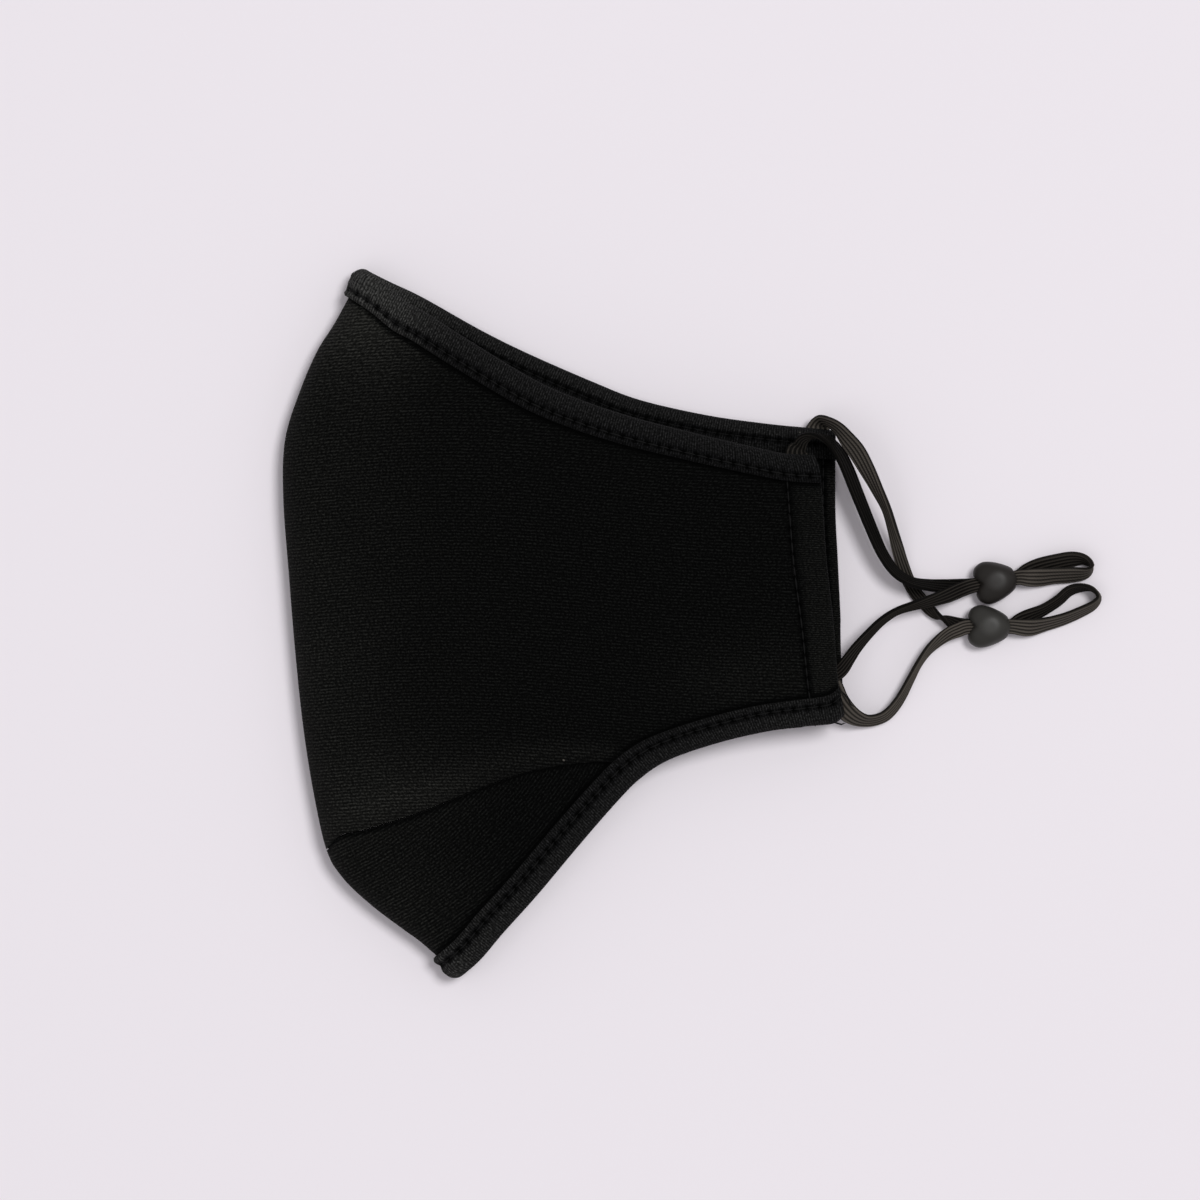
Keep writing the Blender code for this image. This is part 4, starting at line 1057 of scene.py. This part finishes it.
def binding(near, far, edge, name, finish):
    """One tape from the near ear edge round the tip to the far ear edge."""
    rings = []
    uvs = []
    painted_lights = []
    total = 0.0
    thin = np.array(tape_shape(CLOTH))
    thick = np.array(tape_shape(HEM))
    for half in (near, far):
        places, run = tape_places(half, edge, 0.2)
        if half is near:
            places, run = places[::-1], run[-1] - run[::-1]
            total = run[-1]
        else:
            places, run = places[1:], total + run[1:]
        wall = half.wall(places, HEM_STEP + CLEARANCE)
        part = ((wall - CLOTH) / (HEM - CLOTH))[:, None, None]
        shape = thin[None] * (1 - part) + thick[None] * part
        inward = shape[..., 0]
        stitch = stitch_inward(half, edge)
        relief = tape_relief(run[:, None], inward, stitch) * shape[..., 2]
        away = np.where(shape[..., 1] > -wall[:, None] / 2, 1.0, -1.0)
        along = np.broadcast_to(places[:, None], inward.shape)
        up = half.up_from(along, inward, edge)
        spot = half.at(along, up, shape[..., 1] + relief * away)
        spot[..., 2] = np.maximum(spot[..., 2], 0.0)
        rings.append(spot)
        steps = np.linalg.norm(np.diff(shape[..., :2], axis=1, prepend=shape[:, :1, :2]), axis=-1)
        uvs.append(np.stack(np.broadcast_arrays(np.cumsum(steps, 1), run[:, None]), -1))
        # Painted light on the tape: painted sheen, a painted highlight on its crown, the inner ply
        # painted lighter where it shows between the halves, the lower tape a little lighter, less
        # painted shade in the stitch holes
        painted_lights.append(painted_sheen(half, spot[..., 0], spot[..., 1])
                     + 0.08 * swell(inward - 2.0, 1.8)
                     + np.where(away > 0, 0.0, 0.08) + (0.0 if edge else 0.04)
                     - 1.3 * seam_shade(run[:, None], inward - stitch))
    points = np.concatenate(rings)
    return add_piece(name, points, ring_faces(*points.shape[:2]), finish, np.concatenate(uvs),
                     np.concatenate(painted_lights))


tape = jersey_finish("black ribbed binding tape", "#060606", "#272728", "#4a4a48", RIB, 2.2)
top_binding = binding(near_half, far_half, 1, "top_edge_binding", tape)
lower_binding = binding(near_half, far_half, 0, "lower_edge_binding", tape)
for half in (near_half, far_half):
    carve(top_binding, tunnel_cutter(half))
for piece, node in ((top_binding, "top_binding"), (lower_binding, "lower_binding")):
    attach(piece, "root")
    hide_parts(node)


# Stitches: black polyester thread, 0.36 mm, sunk into the cloth between its needle holes, with
# two loose ends at the lower ear corner.
THREAD = 0.36
# Loose ends, as points in mm
THREAD_ENDS = [
    [(58.2, -13.9, 11.6), (59.0, -14.8, 12.1), (59.7, -15.7, 12.2), (60.1, -16.7, 11.9),
     (60.9, -17.3, 11.2)],
    [(55.4, -18.6, 11.0), (56.3, -19.8, 10.9), (57.2, -20.7, 10.4), (58.3, -21.0, 9.8),
     (59.2, -20.7, 9.3)],
]


def tubes(paths, normals, radius, sides=6):
    """Points and faces of many short threads; paths is (threads, points, 3)."""
    heading = unit(np.gradient(paths, axis=1))
    side = unit(np.cross(heading, normals))
    rise = np.cross(side, heading)
    angle = np.linspace(0, 2 * math.pi, sides, endpoint=False)
    taper = np.sqrt(np.clip(1 - np.linspace(-1, 1, paths.shape[1]) ** 6, 0.08, 1)) * radius
    round_it = (side[..., None, :] * np.cos(angle)[:, None]
                + rise[..., None, :] * np.sin(angle)[:, None]) * taper[:, None, None]
    points = paths[..., None, :] + round_it
    per = paths.shape[1] * sides
    faces = []
    for index in range(len(paths)):
        faces += ring_faces(paths.shape[1], sides, start=index * per)
    return points.reshape(-1, 3), faces


def stitch_row(half, across, up, out, run, level):
    """Threads along a line of places; level is where the cloth's face lies."""
    holes = np.arange(math.ceil(run[0] / STITCH), run[-1] // STITCH) * STITCH
    t = np.linspace(0, 1, 7)
    where = holes[:, None] + (0.04 + 0.92 * t[None]) * STITCH
    where = drifted(where, -1)
    a = np.interp(where, run, across)
    u = np.interp(where, run, up)
    arch = level - 0.55 + 0.42 * np.sin(math.pi * t[None]) ** 0.7
    return half.at(a, u, arch * out), half.outward(a, u) * out


threads = []
for half in (near_half, far_half):
    rows = []
    for edge in (1, 0):
        places, run = tape_places(half, edge, 0.25)
        whole = run[-1]
        if half is near_half:
            places, run = places[::-1], whole - run[::-1]
        else:
            run = run + tape_places(near_half, edge, 0.25)[1][-1]
        up = half.up_from(places, stitch_inward(half, edge), edge)
        rows.append((places, up, run, CLEARANCE + TAPE, 1.0))
        rows.append((places, up, run, half.wall(places, HEM_STEP + CLEARANCE).min()
                     + CLEARANCE + TAPE, -1.0))
    ears = np.linspace(0, 1, 200)
    fan = half.across_from_ear(np.linspace(0, HEM_WIDTH, 80))
    fan_x, fan_y, _ = np.moveaxis(half.face(fan[None], ears[:, None]), -1, 0)
    away = half.ear_distance(fan_x, fan_y, ears[:, None])
    for level, out in ((0.0, 1.0), (HEM, -1.0)):
        lines = hem_stitch(half, ears, out < 0)
        places = np.array([np.interp(line, row, fan) for line, row in zip(lines, away)])
        rows.append((places, ears, ears * half.column_length(1.0), level, out))
    for places, up, run, level, out in rows:
        threads.append(tubes(*stitch_row(half, places, up, out, run, level), THREAD / 2))
threads.append(tubes(np.array(THREAD_ENDS), (0.0, 0.0, 1.0), THREAD / 2))
thread_faces = []
count = 0
for points, faces in threads:
    thread_faces += [[corner + count for corner in face] for face in faces]
    count += len(points)
thread_points = np.concatenate([points for points, _ in threads])
thread_finish = start_finish("black polyester thread", "#121212", 0.75, Specular_IOR_Level=0.08)[0]
stitches = add_piece("stitches", thread_points, thread_faces, thread_finish)
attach(stitches, "root")
